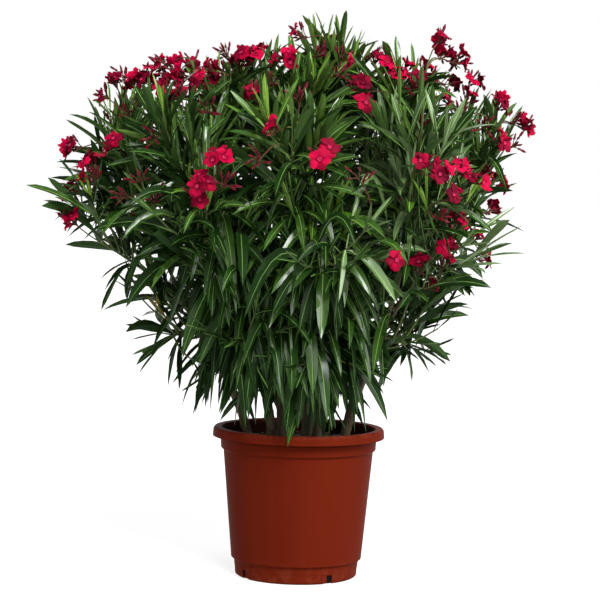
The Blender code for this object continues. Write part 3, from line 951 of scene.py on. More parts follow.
SOIL_LEVEL = 0.267
SEAT_GAP = 0.0003
STEM_TAPER = ((0.00, 0.0138), (0.06, 0.0094), (0.35, 0.0086), (0.66, 0.0076), (0.94, 0.0070), (1.00, 0.0089))
BOUGH_TAPER = ((0.00, 0.0040), (0.33, 0.0037), (0.67, 0.0034), (1.00, 0.0031))
BOUGH_SHARE = 0.52
FORK_OFFSET = 0.0049
STEM_BEND_OUT, STEM_BEND_UP = 0.20, 0.42
LIMB_RUN = 0.42


def fork_feet(tip: Vector, along: Vector, heads: Sequence[Vector]) -> list[Vector]:
    """Where each of three limbs stands on a fork.

    Args:
        tip: The middle of the stem's end.
        along: The stem's direction there.
        heads: Where the limbs grow to.

    Returns:
        The foot of each limb, spaced evenly, on the side that it grows to.
    """
    across = across_from(along)
    beside = along.cross(across)
    away = [(head - tip).normalized() for head in heads]
    bearings = [math.atan2(way.dot(beside), way.dot(across)) for way in away]
    ahead = min(range(len(heads)), key=lambda limb: away[limb].dot(along))

    def off_ahead(limb: int) -> float:
        """A limb's bearing from the one that turns off most."""
        return (bearings[limb] - bearings[ahead] + math.pi) % FULL_TURN - math.pi

    others = sorted((limb for limb in range(len(heads)) if limb != ahead), key=off_ahead)
    turns = {ahead: 0.0, others[0]: -FULL_TURN / 3, others[1]: FULL_TURN / 3}
    feet = []
    for limb in range(len(heads)):
        turn = bearings[ahead] + turns[limb]
        spoke = across * math.cos(turn) + beside * math.sin(turn)
        feet.append(tip + along * SEAT_GAP + spoke * FORK_OFFSET)
    return feet


@dataclass(frozen=True)
class Limb:
    """A stem or bough with the name of its node."""

    name: str
    path: Path
    taper: Taper


@dataclass(frozen=True)
class Leader:
    """The middle shoot of one mass, which its side shoots grow from."""

    stem: str
    name: str
    path: Path
    bough: Path | None


def planned(plan: StemPlan) -> tuple[Limb, list[Limb], list[Leader]]:
    """The limbs and leaders of one stem.

    Args:
        plan: The stem's plan.

    Returns:
        The stem, its boughs, and the leader of each of its masses.
    """
    foot = polar(plan.heading, plan.foot, SOIL_LEVEL + SEAT_GAP)
    fork = polar(plan.heading, plan.reach, plan.height)
    bend = foot.lerp(fork, STEM_BEND_OUT)
    bend.z = foot.lerp(fork, STEM_BEND_UP).z
    trunk = Path(foot, bend, fork)
    along = trunk.direction(1.0)
    heads = [head.place() for head in plan.heads]
    boughs, leaders = [], []
    for head, place, start in zip(plan.heads, heads, fork_feet(fork, along, heads)):
        whole = Path(start, start + along * (place - start).length * LIMB_RUN, place)
        name = f"{plan.name}_{head.name}"
        if head.name == "low":
            leaders.append(Leader(plan.name, name, whole, None))
            continue
        bough = whole.part(0.0, BOUGH_SHARE)
        boughs.append(Limb(f"bough_{name}", bough, BOUGH_TAPER))
        leaders.append(Leader(plan.name, name, whole.part(BOUGH_SHARE, 1.0), bough))
    return Limb(f"stem_{plan.name}", trunk, STEM_TAPER), boughs, leaders


@dataclass(frozen=True)
class Crown:
    """The room that the foliage may fill, as its reach to the left and right at each height."""

    outline: tuple[Place, ...] = (
        (0.300, 0.190, 0.125), (0.345, 0.225, 0.135), (0.392, 0.255, 0.185), (0.440, 0.270, 0.235),
        (0.487, 0.300, 0.262), (0.535, 0.340, 0.275), (0.582, 0.375, 0.345), (0.630, 0.375, 0.370),
        (0.677, 0.490, 0.360), (0.725, 0.625, 0.370), (0.772, 0.600, 0.385), (0.820, 0.510, 0.405),
        (0.867, 0.460, 0.415), (0.915, 0.425, 0.410), (0.962, 0.360, 0.360), (1.010, 0.230, 0.265),
        (1.057, 0.050, 0.140), (1.095, 0.000, 0.055),
    )
    depth: float = 0.96
    deepest: float = 0.450
    leftmost: float = -0.545
    lobe: float = 0.30
    lobes: float = 6.5
    lobe_shift: Place = (7.7, 5.5, 4.2)
    pot_top: float = 0.301
    pot_mouth: float = 0.142
    mouth_floor: float = 0.274
    top_slack: float = 0.025

    def reach(self, point: Vector) -> float:
        """How far the crown reaches from the axis at a point's height and heading.

        Args:
            point: The point.

        Returns:
            The radius of the outline there, with its lobes.
        """
        left, right = self.outline[-1][1:]
        for low, high in zip(self.outline, self.outline[1:]):
            if point.z <= high[0]:
                share = (point.z - low[0]) / (high[0] - low[0])
                left, right = (blended(low[side], high[side], share) for side in (1, 2))
                break
        flat = Vector((point.x, point.y, 0.0))
        if flat.length < TINY:
            return (left + right) / 2
        flat.normalize()
        aside = blended(left, right, (flat.x + 1.0) / 2)
        reach = aside * (flat.x**2 + self.depth * flat.y**2)
        return reach * (1.0 + self.lobe * noise.noise(point * self.lobes + Vector(self.lobe_shift)))

    def holds(self, point: Vector, slack: float = 0.0) -> bool:
        """Whether a point is within the outline and clear of the pot's rim."""
        if abs(point.y) > self.deepest or point.x < self.leftmost:
            return False
        distance = math.hypot(point.x, point.y)
        floor = self.mouth_floor if distance < self.pot_mouth else self.pot_top
        if not floor < point.z < self.outline[-1][0] + min(slack, self.top_slack):
            return False
        return distance < self.reach(point) + slack


# Bark


@dataclass
class Limbs:
    """The stems and boughs, with the relief of their bark."""

    sides: int = 18
    ring_length: float = 0.0045
    fewest_rings: int = 6
    end: tuple[Band, ...] = ((1.0, 0.0), (0.80, 0.30), (0.45, 0.42))
    sharp: float = 70.0
    ridge: float = 0.00035
    wave_round: float = 2.2
    wave_along: float = 38.0
    wave_drift: float = 9.0
    grain: float = 300.0
    swelling: float = 0.0007
    swelling_width: float = 0.0032
    joint_spacing: float = 0.038
    scar: float = 0.0006
    scar_turns: float = 1.5
    scar_shift: float = math.pi / 3
    scar_narrowness: int = 6
    full_radius: float = 0.008
    sunk: float = 0.007

    def relief(self, place: Vector, run: float, turn: float, radius: float) -> float:
        """How far the bark stands out from the smooth limb.

        Args:
            place: The place on the limb.
            run: Metres from the limb's foot.
            turn: How far round the limb, in radians.
            radius: The limb's radius there.

        Returns:
            Metres outwards.
        """
        around = Vector((math.cos(turn) * self.wave_round, math.sin(turn) * self.wave_round,
                         run * self.wave_along))
        wave = noise.noise(around + place * self.wave_drift)
        rough = noise.noise(place * self.grain)
        joint = run / self.joint_spacing
        off = (joint - round(joint)) * self.joint_spacing
        ring = math.exp(-((off / self.swelling_width) ** 2))
        facing = math.cos(self.scar_turns * (turn + round(joint) * self.scar_shift))
        scars = max(0.0, facing) ** self.scar_narrowness
        share = min(radius / self.full_radius, 1.0)
        return share * ((wave * 2 + rough) * self.ridge + ring * (self.swelling + scars * self.scar))

    def tube(self, path: Path, taper: Taper) -> bmesh.types.BMesh:
        """Draws one limb out ring by ring, with its relief.

        Args:
            path: The limb's middle line.
            taper: Its radius along that.

        Returns:
            The closed limb with a rounded end.
        """
        length = path.length()
        rings = max(self.fewest_rings, round(length / self.ring_length))
        mesh = bmesh.new()
        bmesh.ops.create_circle(mesh, cap_ends=True, segments=self.sides, radius=1.0)
        cap = next(iter(mesh.faces))
        stations = [(ring / rings, 1.0, 0.0) for ring in range(rings)] + [(1.0, *ring) for ring in self.end]
        for number, (share, squeeze, dome) in enumerate(stations):
            if number:
                grown = bmesh.ops.extrude_face_region(mesh, geom=[cap])["geom"]
                if number > 1:
                    bmesh.ops.delete(mesh, geom=[cap], context="FACES_ONLY")
                cap = next(item for item in grown if isinstance(item, bmesh.types.BMFace))
            radius = radius_at(taper, share)
            middle = path.point(share) + path.direction(share) * (dome * radius)
            for side, vertex in enumerate(cap.verts):
                turn = FULL_TURN * side / self.sides
                spoke = path.spoke(share, turn)
                if share == 0.0 and taper is STEM_TAPER:
                    spoke = squared(spoke, UP)
                out = radius + self.relief(middle + spoke * radius, share * length, turn, radius)
                vertex.co = middle + spoke * out * squeeze
        return mesh

    def build(self, limbs: Sequence[Limb], name: str, finish: Bark, slot: str) -> None:
        """Makes one piece of several limbs.

        Args:
            limbs: The limbs, whose nodes it replaces.
            name: The piece's name.
            finish: Its bark.
            slot: The record's material slot; not used.
        """
        whole = bmesh.new()
        for limb in limbs:
            path = limb.path
            if limb.taper is BOUGH_TAPER:
                sink = path.direction(0.0) * self.sunk
                path = Path(path.start - sink, path.control, path.end)
            part = self.tube(path, limb.taper)
            bmesh.ops.recalc_face_normals(part, faces=part.faces)
            joined(whole, part)
        piece = add_piece(name, finished(whole, name, self.sharp), [finish])
        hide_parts(*[limb.name for limb in limbs])


class Obstacles:
    """Straight stretches with a radius, which leaves keep clear of."""

    def __init__(self, stretches: Sequence[Stretch]) -> None:
        """Reads the stretches, each a start, an end and a radius."""
        self.starts = np.array([start for start, _, _ in stretches])
        self.runs = np.array([end for _, end, _ in stretches]) - self.starts
        self.radii = np.array([radius for _, _, radius in stretches])
        self.squares = (self.runs**2).sum(axis=1)

    def touches(self, places: np.ndarray, clearance: float = 0.0) -> bool:
        """Whether any of these places is in a stretch or nearer to it than the clearance."""
        away = places[:, None, :] - self.starts[None, :, :]
        share = np.clip((away * self.runs).sum(axis=2) / self.squares, 0.0, 1.0)
        distance = np.linalg.norm(away - share[:, :, None] * self.runs, axis=2)
        return bool((distance < self.radii + clearance).any())


def stretches_of(limbs: Sequence[Limb], steps: int = 10) -> list[Stretch]:
    """The limbs as straight stretches, this many for each."""
    shares = [(step / steps, (step + 1) / steps) for step in range(steps)]
    return [(limb.path.point(low), limb.path.point(high), radius_at(limb.taper, low))
            for limb in limbs for low, high in shares]


# Leaves


@dataclass(frozen=True)
class Leaf:
    """One leaf: where it grows from, and how it runs."""

    root: Vector
    direction: Vector
    shoot: Vector
    length: float
    width: float
    droop: float
    twist: float
    fold: float
    tint: Tint

    def spine(self, share: float) -> Vector:
        """The middle line's point at a share of the leaf."""
        stretch = self.length / (self.direction - UP * self.droop).length
        return self.root + (self.direction * share - UP * self.droop * share * share) * stretch


@dataclass
class LeafMaker:
    """The shape of a lance-shaped leathery leaf with a raised pale midrib."""

    stations: tuple[float, ...] = (0.0, 0.05, 0.15, 0.28, 0.43, 0.58, 0.73, 0.87, 1.0)
    swell: float = 0.95
    taper: float = 0.72
    petiole: float = 0.0013
    thickness: float = 0.0005
    rib_foot: float = 0.0010
    rib_tip: float = 0.0003
    rib_height: float = 0.00035
    wave: float = 0.10
    wave_turns: float = 1.6
    wave_shift: float = 40.0
    rib_most: float = 0.8
    sharp: float = 50.0
    index: float = 1.34
    tints: tuple[Tint, ...] = tuple(Tint)

    def profile(self) -> np.ndarray:
        """The blade's half width at each station, as a share of its greatest."""
        share = np.array(self.stations)
        peak = self.swell / (self.swell + self.taper)
        top = peak**self.swell * (1 - peak) ** self.taper
        return share**self.swell * (1 - share) ** self.taper / top

    def faces(self) -> tuple[list[tuple[int, ...]], list[int]]:
        """The faces of a leaf, and which face is blade, underside or rib.

        Returns:
            The points of each face, and 0 for blade, 1 for underside or 2 for rib.
        """
        kinds = (0, 2, 0, 1, 1)
        faces: list[tuple[int, ...]] = [tuple(reversed(range(LEAF_RING)))]
        parts = [2]
        tip = (len(self.stations) - 1) * LEAF_RING
        for low in range(0, tip, LEAF_RING):
            high = low + LEAF_RING
            for side, kind in enumerate(kinds):
                after = (side + 1) % LEAF_RING
                foot = (low + side, low + after)
                faces.append((*foot, tip) if high == tip else (*foot, high + after, high + side))
                parts.append(kind)
        return faces, parts

    def points(self, leaves: Sequence[Leaf]) -> np.ndarray:
        """The places of the leaves' points.

        Args:
            leaves: The leaves.

        Returns:
            Leaves by points by 3. Each station has the left edge, both sides of the rib, the right
            edge and the keel, in turn, and the tip has one point.
        """
        share, up = np.array(self.stations), np.array(UP)
        root, way, shoot = (np.array([getattr(leaf, name) for leaf in leaves])
                            for name in ("root", "direction", "shoot"))
        length, width, droop, twist, fold = (np.array([getattr(leaf, name) for leaf in leaves])[:, None]
                                             for name in ("length", "width", "droop", "twist", "fold"))
        stretch = length / np.linalg.norm(way - up * droop, axis=1, keepdims=True)
        spine = way[:, None] * share[None, :, None] - up * (droop * share**2)[:, :, None]
        spine = root[:, None] + spine * stretch[:, :, None]
        along = way[:, None] - up * (2 * droop * share)[:, :, None]
        along /= np.linalg.norm(along, axis=2, keepdims=True)
        top = shoot[:, None] - along * (along * shoot[:, None]).sum(axis=2, keepdims=True)
        top /= np.linalg.norm(top, axis=2, keepdims=True)
        side = np.cross(along, top)
        turn = (twist * share)[:, :, None]
        side, top = side * np.cos(turn) + top * np.sin(turn), top * np.cos(turn) - side * np.sin(turn)
        half = np.maximum(width / 2 * self.profile(), self.petiole * (share < 1.0))[:, :, None]
        rise = half * np.tan(fold)[:, :, None]
        wave = FULL_TURN * self.wave_turns * share + twist * self.wave_shift
        ripple = half * self.wave * np.sin(wave)[:, :, None]
        rib = (self.rib_foot + (self.rib_tip - self.rib_foot) * share)[None, :, None]
        rib = np.minimum(rib, half * self.rib_most)
        crest = top * self.rib_height
        rings = np.stack((
            spine - side * half + top * (rise + ripple),
            spine - side * rib + crest,
            spine + side * rib + crest,
            spine + side * half + top * (rise - ripple),
            spine - top * self.thickness,
        ), axis=2)
        body = rings[:, :-1].reshape(len(leaves), -1, 3)
        return np.concatenate((body, spine[:, -1:]), axis=1)

    def finishes(self) -> list[Plain]:
        """The finishes of every tint, three for each: blade, underside and rib."""
        made = []
        for tint in self.tints:
            look = LEAF_LOOKS[tint]
            under = look.under_shine, look.under_gloss, self.index
            made.append(Plain(f"leaf_{tint.value}", look.blade, look.shine, look.gloss, self.index))
            made.append(Plain(f"leaf_under_{tint.value}", look.under, *under))
            made.append(Plain(f"leaf_rib_{tint.value}", look.rib, *under))
        return made

    def build(self, name: str, leaves: Sequence[Leaf], nodes: Sequence[str]) -> None:
        """Joins leaves as one piece.

        Args:
            name: The piece's name.
            leaves: The leaves.
            nodes: The nodes that the piece replaces.
        """
        faces, parts = self.faces()
        batch = Batch(self.sharp)
        for number, tint in enumerate(self.tints):
            chosen = [leaf for leaf in leaves if leaf.tint is tint]
            if chosen:
                batch.add(self.points(chosen), faces, [3 * number + part for part in parts])
        piece = add_piece(name, batch.mesh(name), self.finishes())
        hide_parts(*nodes)


class Crowding:
    """Which small cells of space hold a leaf already."""

    def __init__(self, cell: float = 0.0088) -> None:
        """Starts with every cell free."""
        self.cell = cell
        self.taken: set[tuple[int, int, int]] = set()

    def cells(self, places: np.ndarray) -> list[tuple[int, int, int]]:
        """The cells that hold these places."""
        return [tuple(row) for row in np.floor(places / self.cell).astype(int)]

    def clashes(self, places: np.ndarray) -> int:
        """How many of these places lie in a taken cell."""
        return sum(cell in self.taken for cell in self.cells(places))

    def take(self, places: np.ndarray) -> None:
        """Marks the cells of these places as taken."""
        self.taken.update(self.cells(places))


@dataclass(frozen=True)
class Habit:
    """How the shoots and leaves of the plant grow. Angles are degrees."""

    first_seed: int = 41
    shoots: int = 16
    shoot_from: float = 0.06
    shoot_to: float = 0.90
    high_from: float = 0.62
    high_full: float = 0.86
    spread: Band = (34.0, 70.0)
    spread_high: float = 0.62
    shoot_length: Band = (0.070, 0.125)
    shoot_lift: float = 0.25
    shoot_lift_high: float = 0.85
    shoot_radius: Band = (0.0023, 0.0015)
    leader_radius: Band = (0.0031, 0.0022)
    whorl_spacing: float = 0.0165
    spacing_high: float = 0.80
    whorl_leaves: int = 3
    whorl_play: float = 10.0
    bare_shoot: float = 0.34
    bare_leader: float = 0.40
    bare_bough: float = 0.60
    bough_spacing: float = 0.032
    leaf_length: Band = (0.110, 0.165)
    leaf_width: Band = (0.115, 0.185)
    width_high: float = 0.66
    length_high: float = 0.90
    angle_tip: float = 22.0
    angle_foot: float = 80.0
    angle_foot_high: float = 40.0
    angle_play: float = 12.0
    droop_tip: float = 0.03
    droop_foot: float = 0.34
    droop_factor: Band = (0.4, 1.4)
    hang_from: float = 0.80
    hang_full: float = 0.54
    hang_droop: float = 1.75
    hang_aside: float = 0.12
    aside_from: float = 0.35
    aside_full: float = 0.75
    twist: float = 0.55
    fold: Band = (0.16, 0.58)
    tuft_length: Band = (0.055, 0.095)
    tuft_angle: Band = (6.0, 24.0)
    bare_stem: float = 0.50
    stem_spacing: float = 0.030
    ragged: float = 0.080
    ragged_low: float = 1.0
    ragged_high: float = 3.0
    clearance: float = 0.0015
    tries: tuple[Place, ...] = (
        (1.0, 1.0, 1.0), (0.75, 0.8, 1.0), (1.2, 1.2, 0.97), (0.6, 1.5, 0.95), (1.1, 0.5, 0.94),
    )
    thin_from: float = 0.74
    thin_full: float = 1.06
    thin_reach: float = 0.46
    thin_low: float = 0.92
    thin_high: float = 0.76
    clashes_allowed: int = 2
    twig_sides: int = 6
    twig_rings: int = 5
    tested: tuple[float, ...] = (0.25, 0.4, 0.55, 0.7, 0.85, 1.0)
    age_rate: float = 1.6
    young_length: float = 0.86
    grown_rate: float = 2.5
    last_whorl: float = 0.97
    tuft_at: float = 0.99
    tuft_droop: Band = (0.0, 0.08)
    young_chance: float = 0.16

    def high(self, point: Vector) -> float:
        """How far a point is into the high part of the plant: 0 below it, 1 in the midst of it."""
        return (point.z - self.high_from) / (self.high_full - self.high_from)


@dataclass(frozen=True)
class Greening:
    """How sprays are dealt their greens: painted light and shade, lighter high up and darker low, on the
    left and high on the right, with painted sheen on the right, and a little of the leaves' age and chance.
    """

    dim_from: float = 0.50
    dim_over: float = 0.50
    tip_light: float = 0.26
    foot_shade: float = 0.5
    play: Band = (-0.50, 0.50)
    left_shade: float = 0.6
    right_shade: float = 6.0
    right_from: float = 0.8
    # where the painted sheen goes
    sheen_right_of: float = 0.06
    sheen_heights: Band = (0.62, 0.86)
    sheen_chance: float = 0.40
    fading_below: float = 0.60
    fading_chance: float = 0.005
    steps: tuple[tuple[float, Tint], ...] = ((0.15, Tint.DEEP), (0.50, Tint.DARK), (0.90, Tint.MIDDLE))

    def tint(self, dealer: random.Random, root: Vector, age: float) -> Tint:
        """Deals a spray its green.

        Args:
            dealer: The seeded draws.
            root: Where the spray grows.
            age: From 0 at a shoot's tip to 1 at its foot.

        Returns:
            The tint.
        """
        # painted light and shade: lighter high up and near a shoot's tip, darker low, at its foot, on the
        # left and high on the right
        light = (root.z - self.dim_from) / self.dim_over + (self.tip_light - age * self.foot_shade)
        light += dealer.uniform(*self.play)
        light += min(0.0, root.x) * self.left_shade
        light -= max(0.0, root.x) * max(0.0, root.z - self.right_from) * self.right_shade
        # painted sheen: some sprays on the right, at middle heights, take the lighter, greyer green
        low, high = self.sheen_heights
        if root.x > self.sheen_right_of and low < root.z < high and dealer.random() < self.sheen_chance:
            return Tint.SILVER
        if root.z < self.fading_below and dealer.random() < self.fading_chance:
            return Tint.FADING
        return next((tint for most, tint in self.steps if light < most), Tint.BRIGHT)


@dataclass(frozen=True)
class LoneLeaf:
    """A leaf placed by itself: the stem it grows on, how far up it, and how the leaf runs."""

    stem: str
    share: float
    way: Place
    length: float
    width: float
    droop: float
    twist: float
    tint: Tint
    stands_at: float = 0.9

    def leaf(self, path: Path, fold: float) -> Leaf:
        """The leaf, with its foot in the bark of the stem that runs along a path."""
        way, along = Vector(self.way).normalized(), path.direction(self.share)
        foot = squared(way, along) * radius_at(STEM_TAPER, self.share) * self.stands_at
        return Leaf(path.point(self.share) + foot, way, along, self.length, self.width, self.droop,
                    self.twist, fold, self.tint)


LONE_LEAVES = (
    LoneLeaf("front", 0.55, (-0.30, -0.93, -0.02), 0.140, 0.021, 0.76, -0.35, Tint.MIDDLE),
)


@dataclass
class Foliage:
    """All the shoots and leaves, grown mass by mass from the leaders."""

    crown: Crown
    wood: Obstacles
    blossom: Obstacles
    habit: Habit = Habit()
    greening: Greening = Greening()
    crowding: Crowding = field(default_factory=Crowding)
    leaves: dict[str, list[Leaf]] = field(default_factory=dict)
    twigs: list[Twig] = field(default_factory=list)
    tips: list[tuple[Vector, Vector]] = field(default_factory=list)

    def fits(self, leaf: Leaf, slack: float) -> tuple[bool, np.ndarray]:
        """Whether a leaf has room.

        Args:
            leaf: The leaf.
            slack: How far its tip may stand out of the crown.

        Returns:
            Whether it has, and the places along it that it would take.
        """
        places = np.array([leaf.spine(share) for share in self.habit.tested])
        last = len(places) - 1
        if not all(self.crown.holds(Vector(places[number]), slack * number / last)
                   for number in range(1, last + 1, 2)):
            return False, places
        if self.wood.touches(places, self.habit.clearance) or self.blossom.touches(places):
            return False, places
        return self.crowding.clashes(places) <= self.habit.clashes_allowed, places

    def add_leaf(self, owner: str, leaf: Leaf, slack: float) -> bool:
        """Adds a leaf to a stem's foliage if it has room, and tells whether it had."""
        room, places = self.fits(leaf, slack)
        if room:
            self.crowding.take(places)
            self.leaves.setdefault(owner, []).append(leaf)
        return room

    def add_whorl(self, owner: str, dealer: random.Random, path: Path, share: float, turn: float) -> None:
        """Adds a whorl of leaves round a twig.

        Args:
            owner: The stem whose foliage they join.
            dealer: The seeded draws.
            path: The twig.
            share: Where on the twig.
            turn: The first leaf's bearing round it, in radians.
        """
        habit = self.habit
        root, along = path.point(share), path.direction(share)
        age = min(1.0, habit.age_rate * (1.0 - share))
        tint = self.greening.tint(dealer, root, age)
        hang = (habit.hang_from - root.z) / (habit.hang_from - habit.hang_full)
        aside = math.hypot(root.x, max(root.y, 0.0)) / self.crown.reach(root)
        aside = (aside - habit.aside_from) / (habit.aside_full - habit.aside_from)
        hang *= blended(1.0, habit.hang_aside, aside)
        high = habit.high(root)
        slack = habit.ragged * dealer.random() ** blended(habit.ragged_low, habit.ragged_high, high)
        for number in range(habit.whorl_leaves):
            around = turn + FULL_TURN * number / habit.whorl_leaves
            around += math.radians(dealer.uniform(-habit.whorl_play, habit.whorl_play))
            side = path.spoke(share, around)
            angle = blended(habit.angle_tip, blended(habit.angle_foot, habit.angle_foot_high, high), age)
            angle += dealer.uniform(-habit.angle_play, habit.angle_play)
            droop = blended(habit.droop_tip, habit.droop_foot, age) + blended(0.0, habit.hang_droop, hang)
            droop *= dealer.uniform(*habit.droop_factor)
            length = dealer.uniform(*habit.leaf_length)
            length *= blended(habit.young_length, 1.0, age * habit.grown_rate)
            length *= blended(1.0, habit.length_high, high)
            width = length * dealer.uniform(*habit.leaf_width) * blended(1.0, habit.width_high, high)
            twist, fold = dealer.gauss(0.0, habit.twist), dealer.uniform(*habit.fold)
            for wider, slacker, shorter in habit.tries:
                way = slanted(along, side, math.radians(angle * wider))
                blade = Leaf(root, way, along, length * shorter, width, droop * slacker, twist, fold, tint)
                if self.add_leaf(owner, blade, slack):
                    break

    def add_tuft(self, owner: str, dealer: random.Random, path: Path) -> None:
        """Adds the young upright leaves at a twig's tip.

        Args:
            owner: The stem whose foliage they join.
            dealer: The seeded draws.
            path: The twig.
        """
        habit = self.habit
        root, along = path.point(habit.tuft_at), path.direction(1.0)
        first = dealer.uniform(0.0, FULL_TURN)
        young = dealer.random() < habit.young_chance and root.z > habit.high_from
        tint = Tint.YOUNG if young else self.greening.tint(dealer, root, 0.0)
        for number in range(habit.whorl_leaves):
            side = path.spoke(1.0, first + FULL_TURN * number / habit.whorl_leaves)
            way = slanted(along, side, math.radians(dealer.uniform(*habit.tuft_angle)))
            length = dealer.uniform(*habit.tuft_length)
            droop, twist = dealer.uniform(*habit.tuft_droop), dealer.gauss(0.0, habit.twist / 2)
            width = length * dealer.uniform(*habit.leaf_width) * habit.width_high
            blade = Leaf(root, way, along, length, width, droop, twist, habit.fold[1], tint)
            self.add_leaf(owner, blade, habit.ragged)

    def dress(self, owner: str, dealer: random.Random, path: Path, bare: float, spacing: float) -> None:
        """Gives a twig whorls of leaves from its bare foot to its tip.

        Args:
            owner: The stem whose foliage they join.
            dealer: The seeded draws.
            path: The twig.
            bare: The share of it that is bare.
            spacing: Metres from whorl to whorl.
        """
        habit = self.habit
        high = habit.high(path.end)
        spacing *= blended(1.0, habit.spacing_high, high)
        count = max(1, round(path.length() * (1.0 - bare) / spacing))
        turn = dealer.uniform(0.0, FULL_TURN)
        for number in range(count):
            share = blended(bare, habit.last_whorl, (number + 0.5) / count)
            turn += FULL_TURN / (2 * habit.whorl_leaves)
            root = path.point(share)
            distance = math.hypot(root.x, root.y)
            rise = (root.z - habit.thin_from) / (habit.thin_full - habit.thin_from)
            out = max(distance / self.crown.reach(root), distance / habit.thin_reach, rise)
            if dealer.random() < blended(habit.thin_low, habit.thin_high, high) * min(1.0, out) ** 2:
                continue
            self.add_whorl(owner, dealer, path, share, turn)

    def dress_stem(self, owner: str, path: Path, seed: int) -> None:
        """Gives a stem whorls of old leaves below its fork, and its lone leaves."""
        self.dress(owner, random.Random(seed), path, self.habit.bare_stem, self.habit.stem_spacing)
        for lone in LONE_LEAVES:
            if lone.stem == owner:
                self.leaves.setdefault(owner, []).append(lone.leaf(path, self.habit.fold[0]))

    def grow(self, leader: Leader, seed: int) -> None:
        """Grows one mass: its leader, side shoots and leaves.

        Args:
            leader: The mass's middle shoot.
            seed: What its chance starts from.
        """
        habit, dealer = self.habit, random.Random(seed)
        path = leader.path
        self.twigs.append(Twig(path, *habit.leader_radius))
        first = dealer.uniform(0.0, FULL_TURN)
        shoots = []
        for number in range(habit.shoots):
            share = blended(habit.shoot_from, habit.shoot_to, number / (habit.shoots - 1))
            start = path.point(share)
            high = habit.high(start)
            spread = math.radians(dealer.uniform(*habit.spread)) * blended(1.0, habit.spread_high, high)
            out = slanted(path.direction(share), path.spoke(share, first + number * GOLDEN_TURN), spread)
            length = dealer.uniform(*habit.shoot_length)
            end = (out + UP * blended(habit.shoot_lift, habit.shoot_lift_high, high)).normalized() * length
            shoot = Path(start, start + out * length / 2, start + end)
            if self.crown.holds(shoot.end) and self.crown.holds(shoot.control):
                shoots.append(shoot)
        for twig in [path] + shoots:
            self.add_tuft(leader.stem, dealer, twig)
            self.tips.append((twig.end, twig.direction(1.0)))
        self.dress(leader.stem, dealer, path, habit.bare_leader, habit.whorl_spacing)
        for shoot in shoots:
            self.twigs.append(Twig(shoot, *habit.shoot_radius))
            self.dress(leader.stem, dealer, shoot, habit.bare_shoot, habit.whorl_spacing)
        if leader.bough:
            self.dress(leader.stem, dealer, leader.bough, habit.bare_bough, habit.bough_spacing)

    def build(self) -> None:
        """Joins each stem's leaves as one piece, and all the twigs as another."""
        maker = LeafMaker()
        for plan in STEMS:
            nodes = [f"leaves_{plan.name}_{head.name}" for head in plan.heads]
            maker.build(f"foliage_{plan.name}", self.leaves[plan.name], nodes)
        twigs = Batch()
        add_twigs(twigs, self.twigs, self.habit.twig_sides, self.habit.twig_rings, 0)
        add_piece("twigs", twigs.mesh("twigs"), [TWIG_GREEN])
        log.info("%d leaves on %d twigs", sum(map(len, self.leaves.values())), len(self.twigs))


# Blossom


@dataclass(frozen=True)
class View:
    """The camera, and where a mark in its square frame lies in the plant."""

    place: Vector = Vector((0.0, -4.5, 0.82)).freeze()
    target: Vector = Vector((-0.003, 0.0, 0.547)).freeze()
    lens: float = 136.9
    sensor: float = 36.0
    side: int = 600
    roll: float = 1.25

    def turn(self) -> Quaternion:
        """The camera's rotation, with its roll."""
        level = (self.target - self.place).to_track_quat("-Z", "Y")
        return level @ Quaternion(UP, math.radians(self.roll))

    def spot(self, across: float, down: float, depth: float) -> Vector:
        """The point at a mark in the frame.

        Args:
            across: How far it is from the frame's left edge, as one of the side's 600 steps.
            down: How far it is from the top edge.
            depth: The point's own Y.

        Returns:
            The point.
        """
        scale = self.sensor / self.lens / self.side
        half = self.side / 2
        ray = self.turn() @ Vector(((across - half) * scale, (half - down) * scale, -1.0))
        return self.place + ray * ((depth - self.place.y) / ray.y)

    def camera(self) -> None:
        """Adds the camera."""
        lens = bpy.data.cameras.new("camera")
        lens.lens, lens.sensor_width = self.lens, self.sensor
        camera = placed("camera", lens)
        camera.location = self.place
        camera.rotation_euler = self.turn().to_euler()
        bpy.context.scene.camera = camera


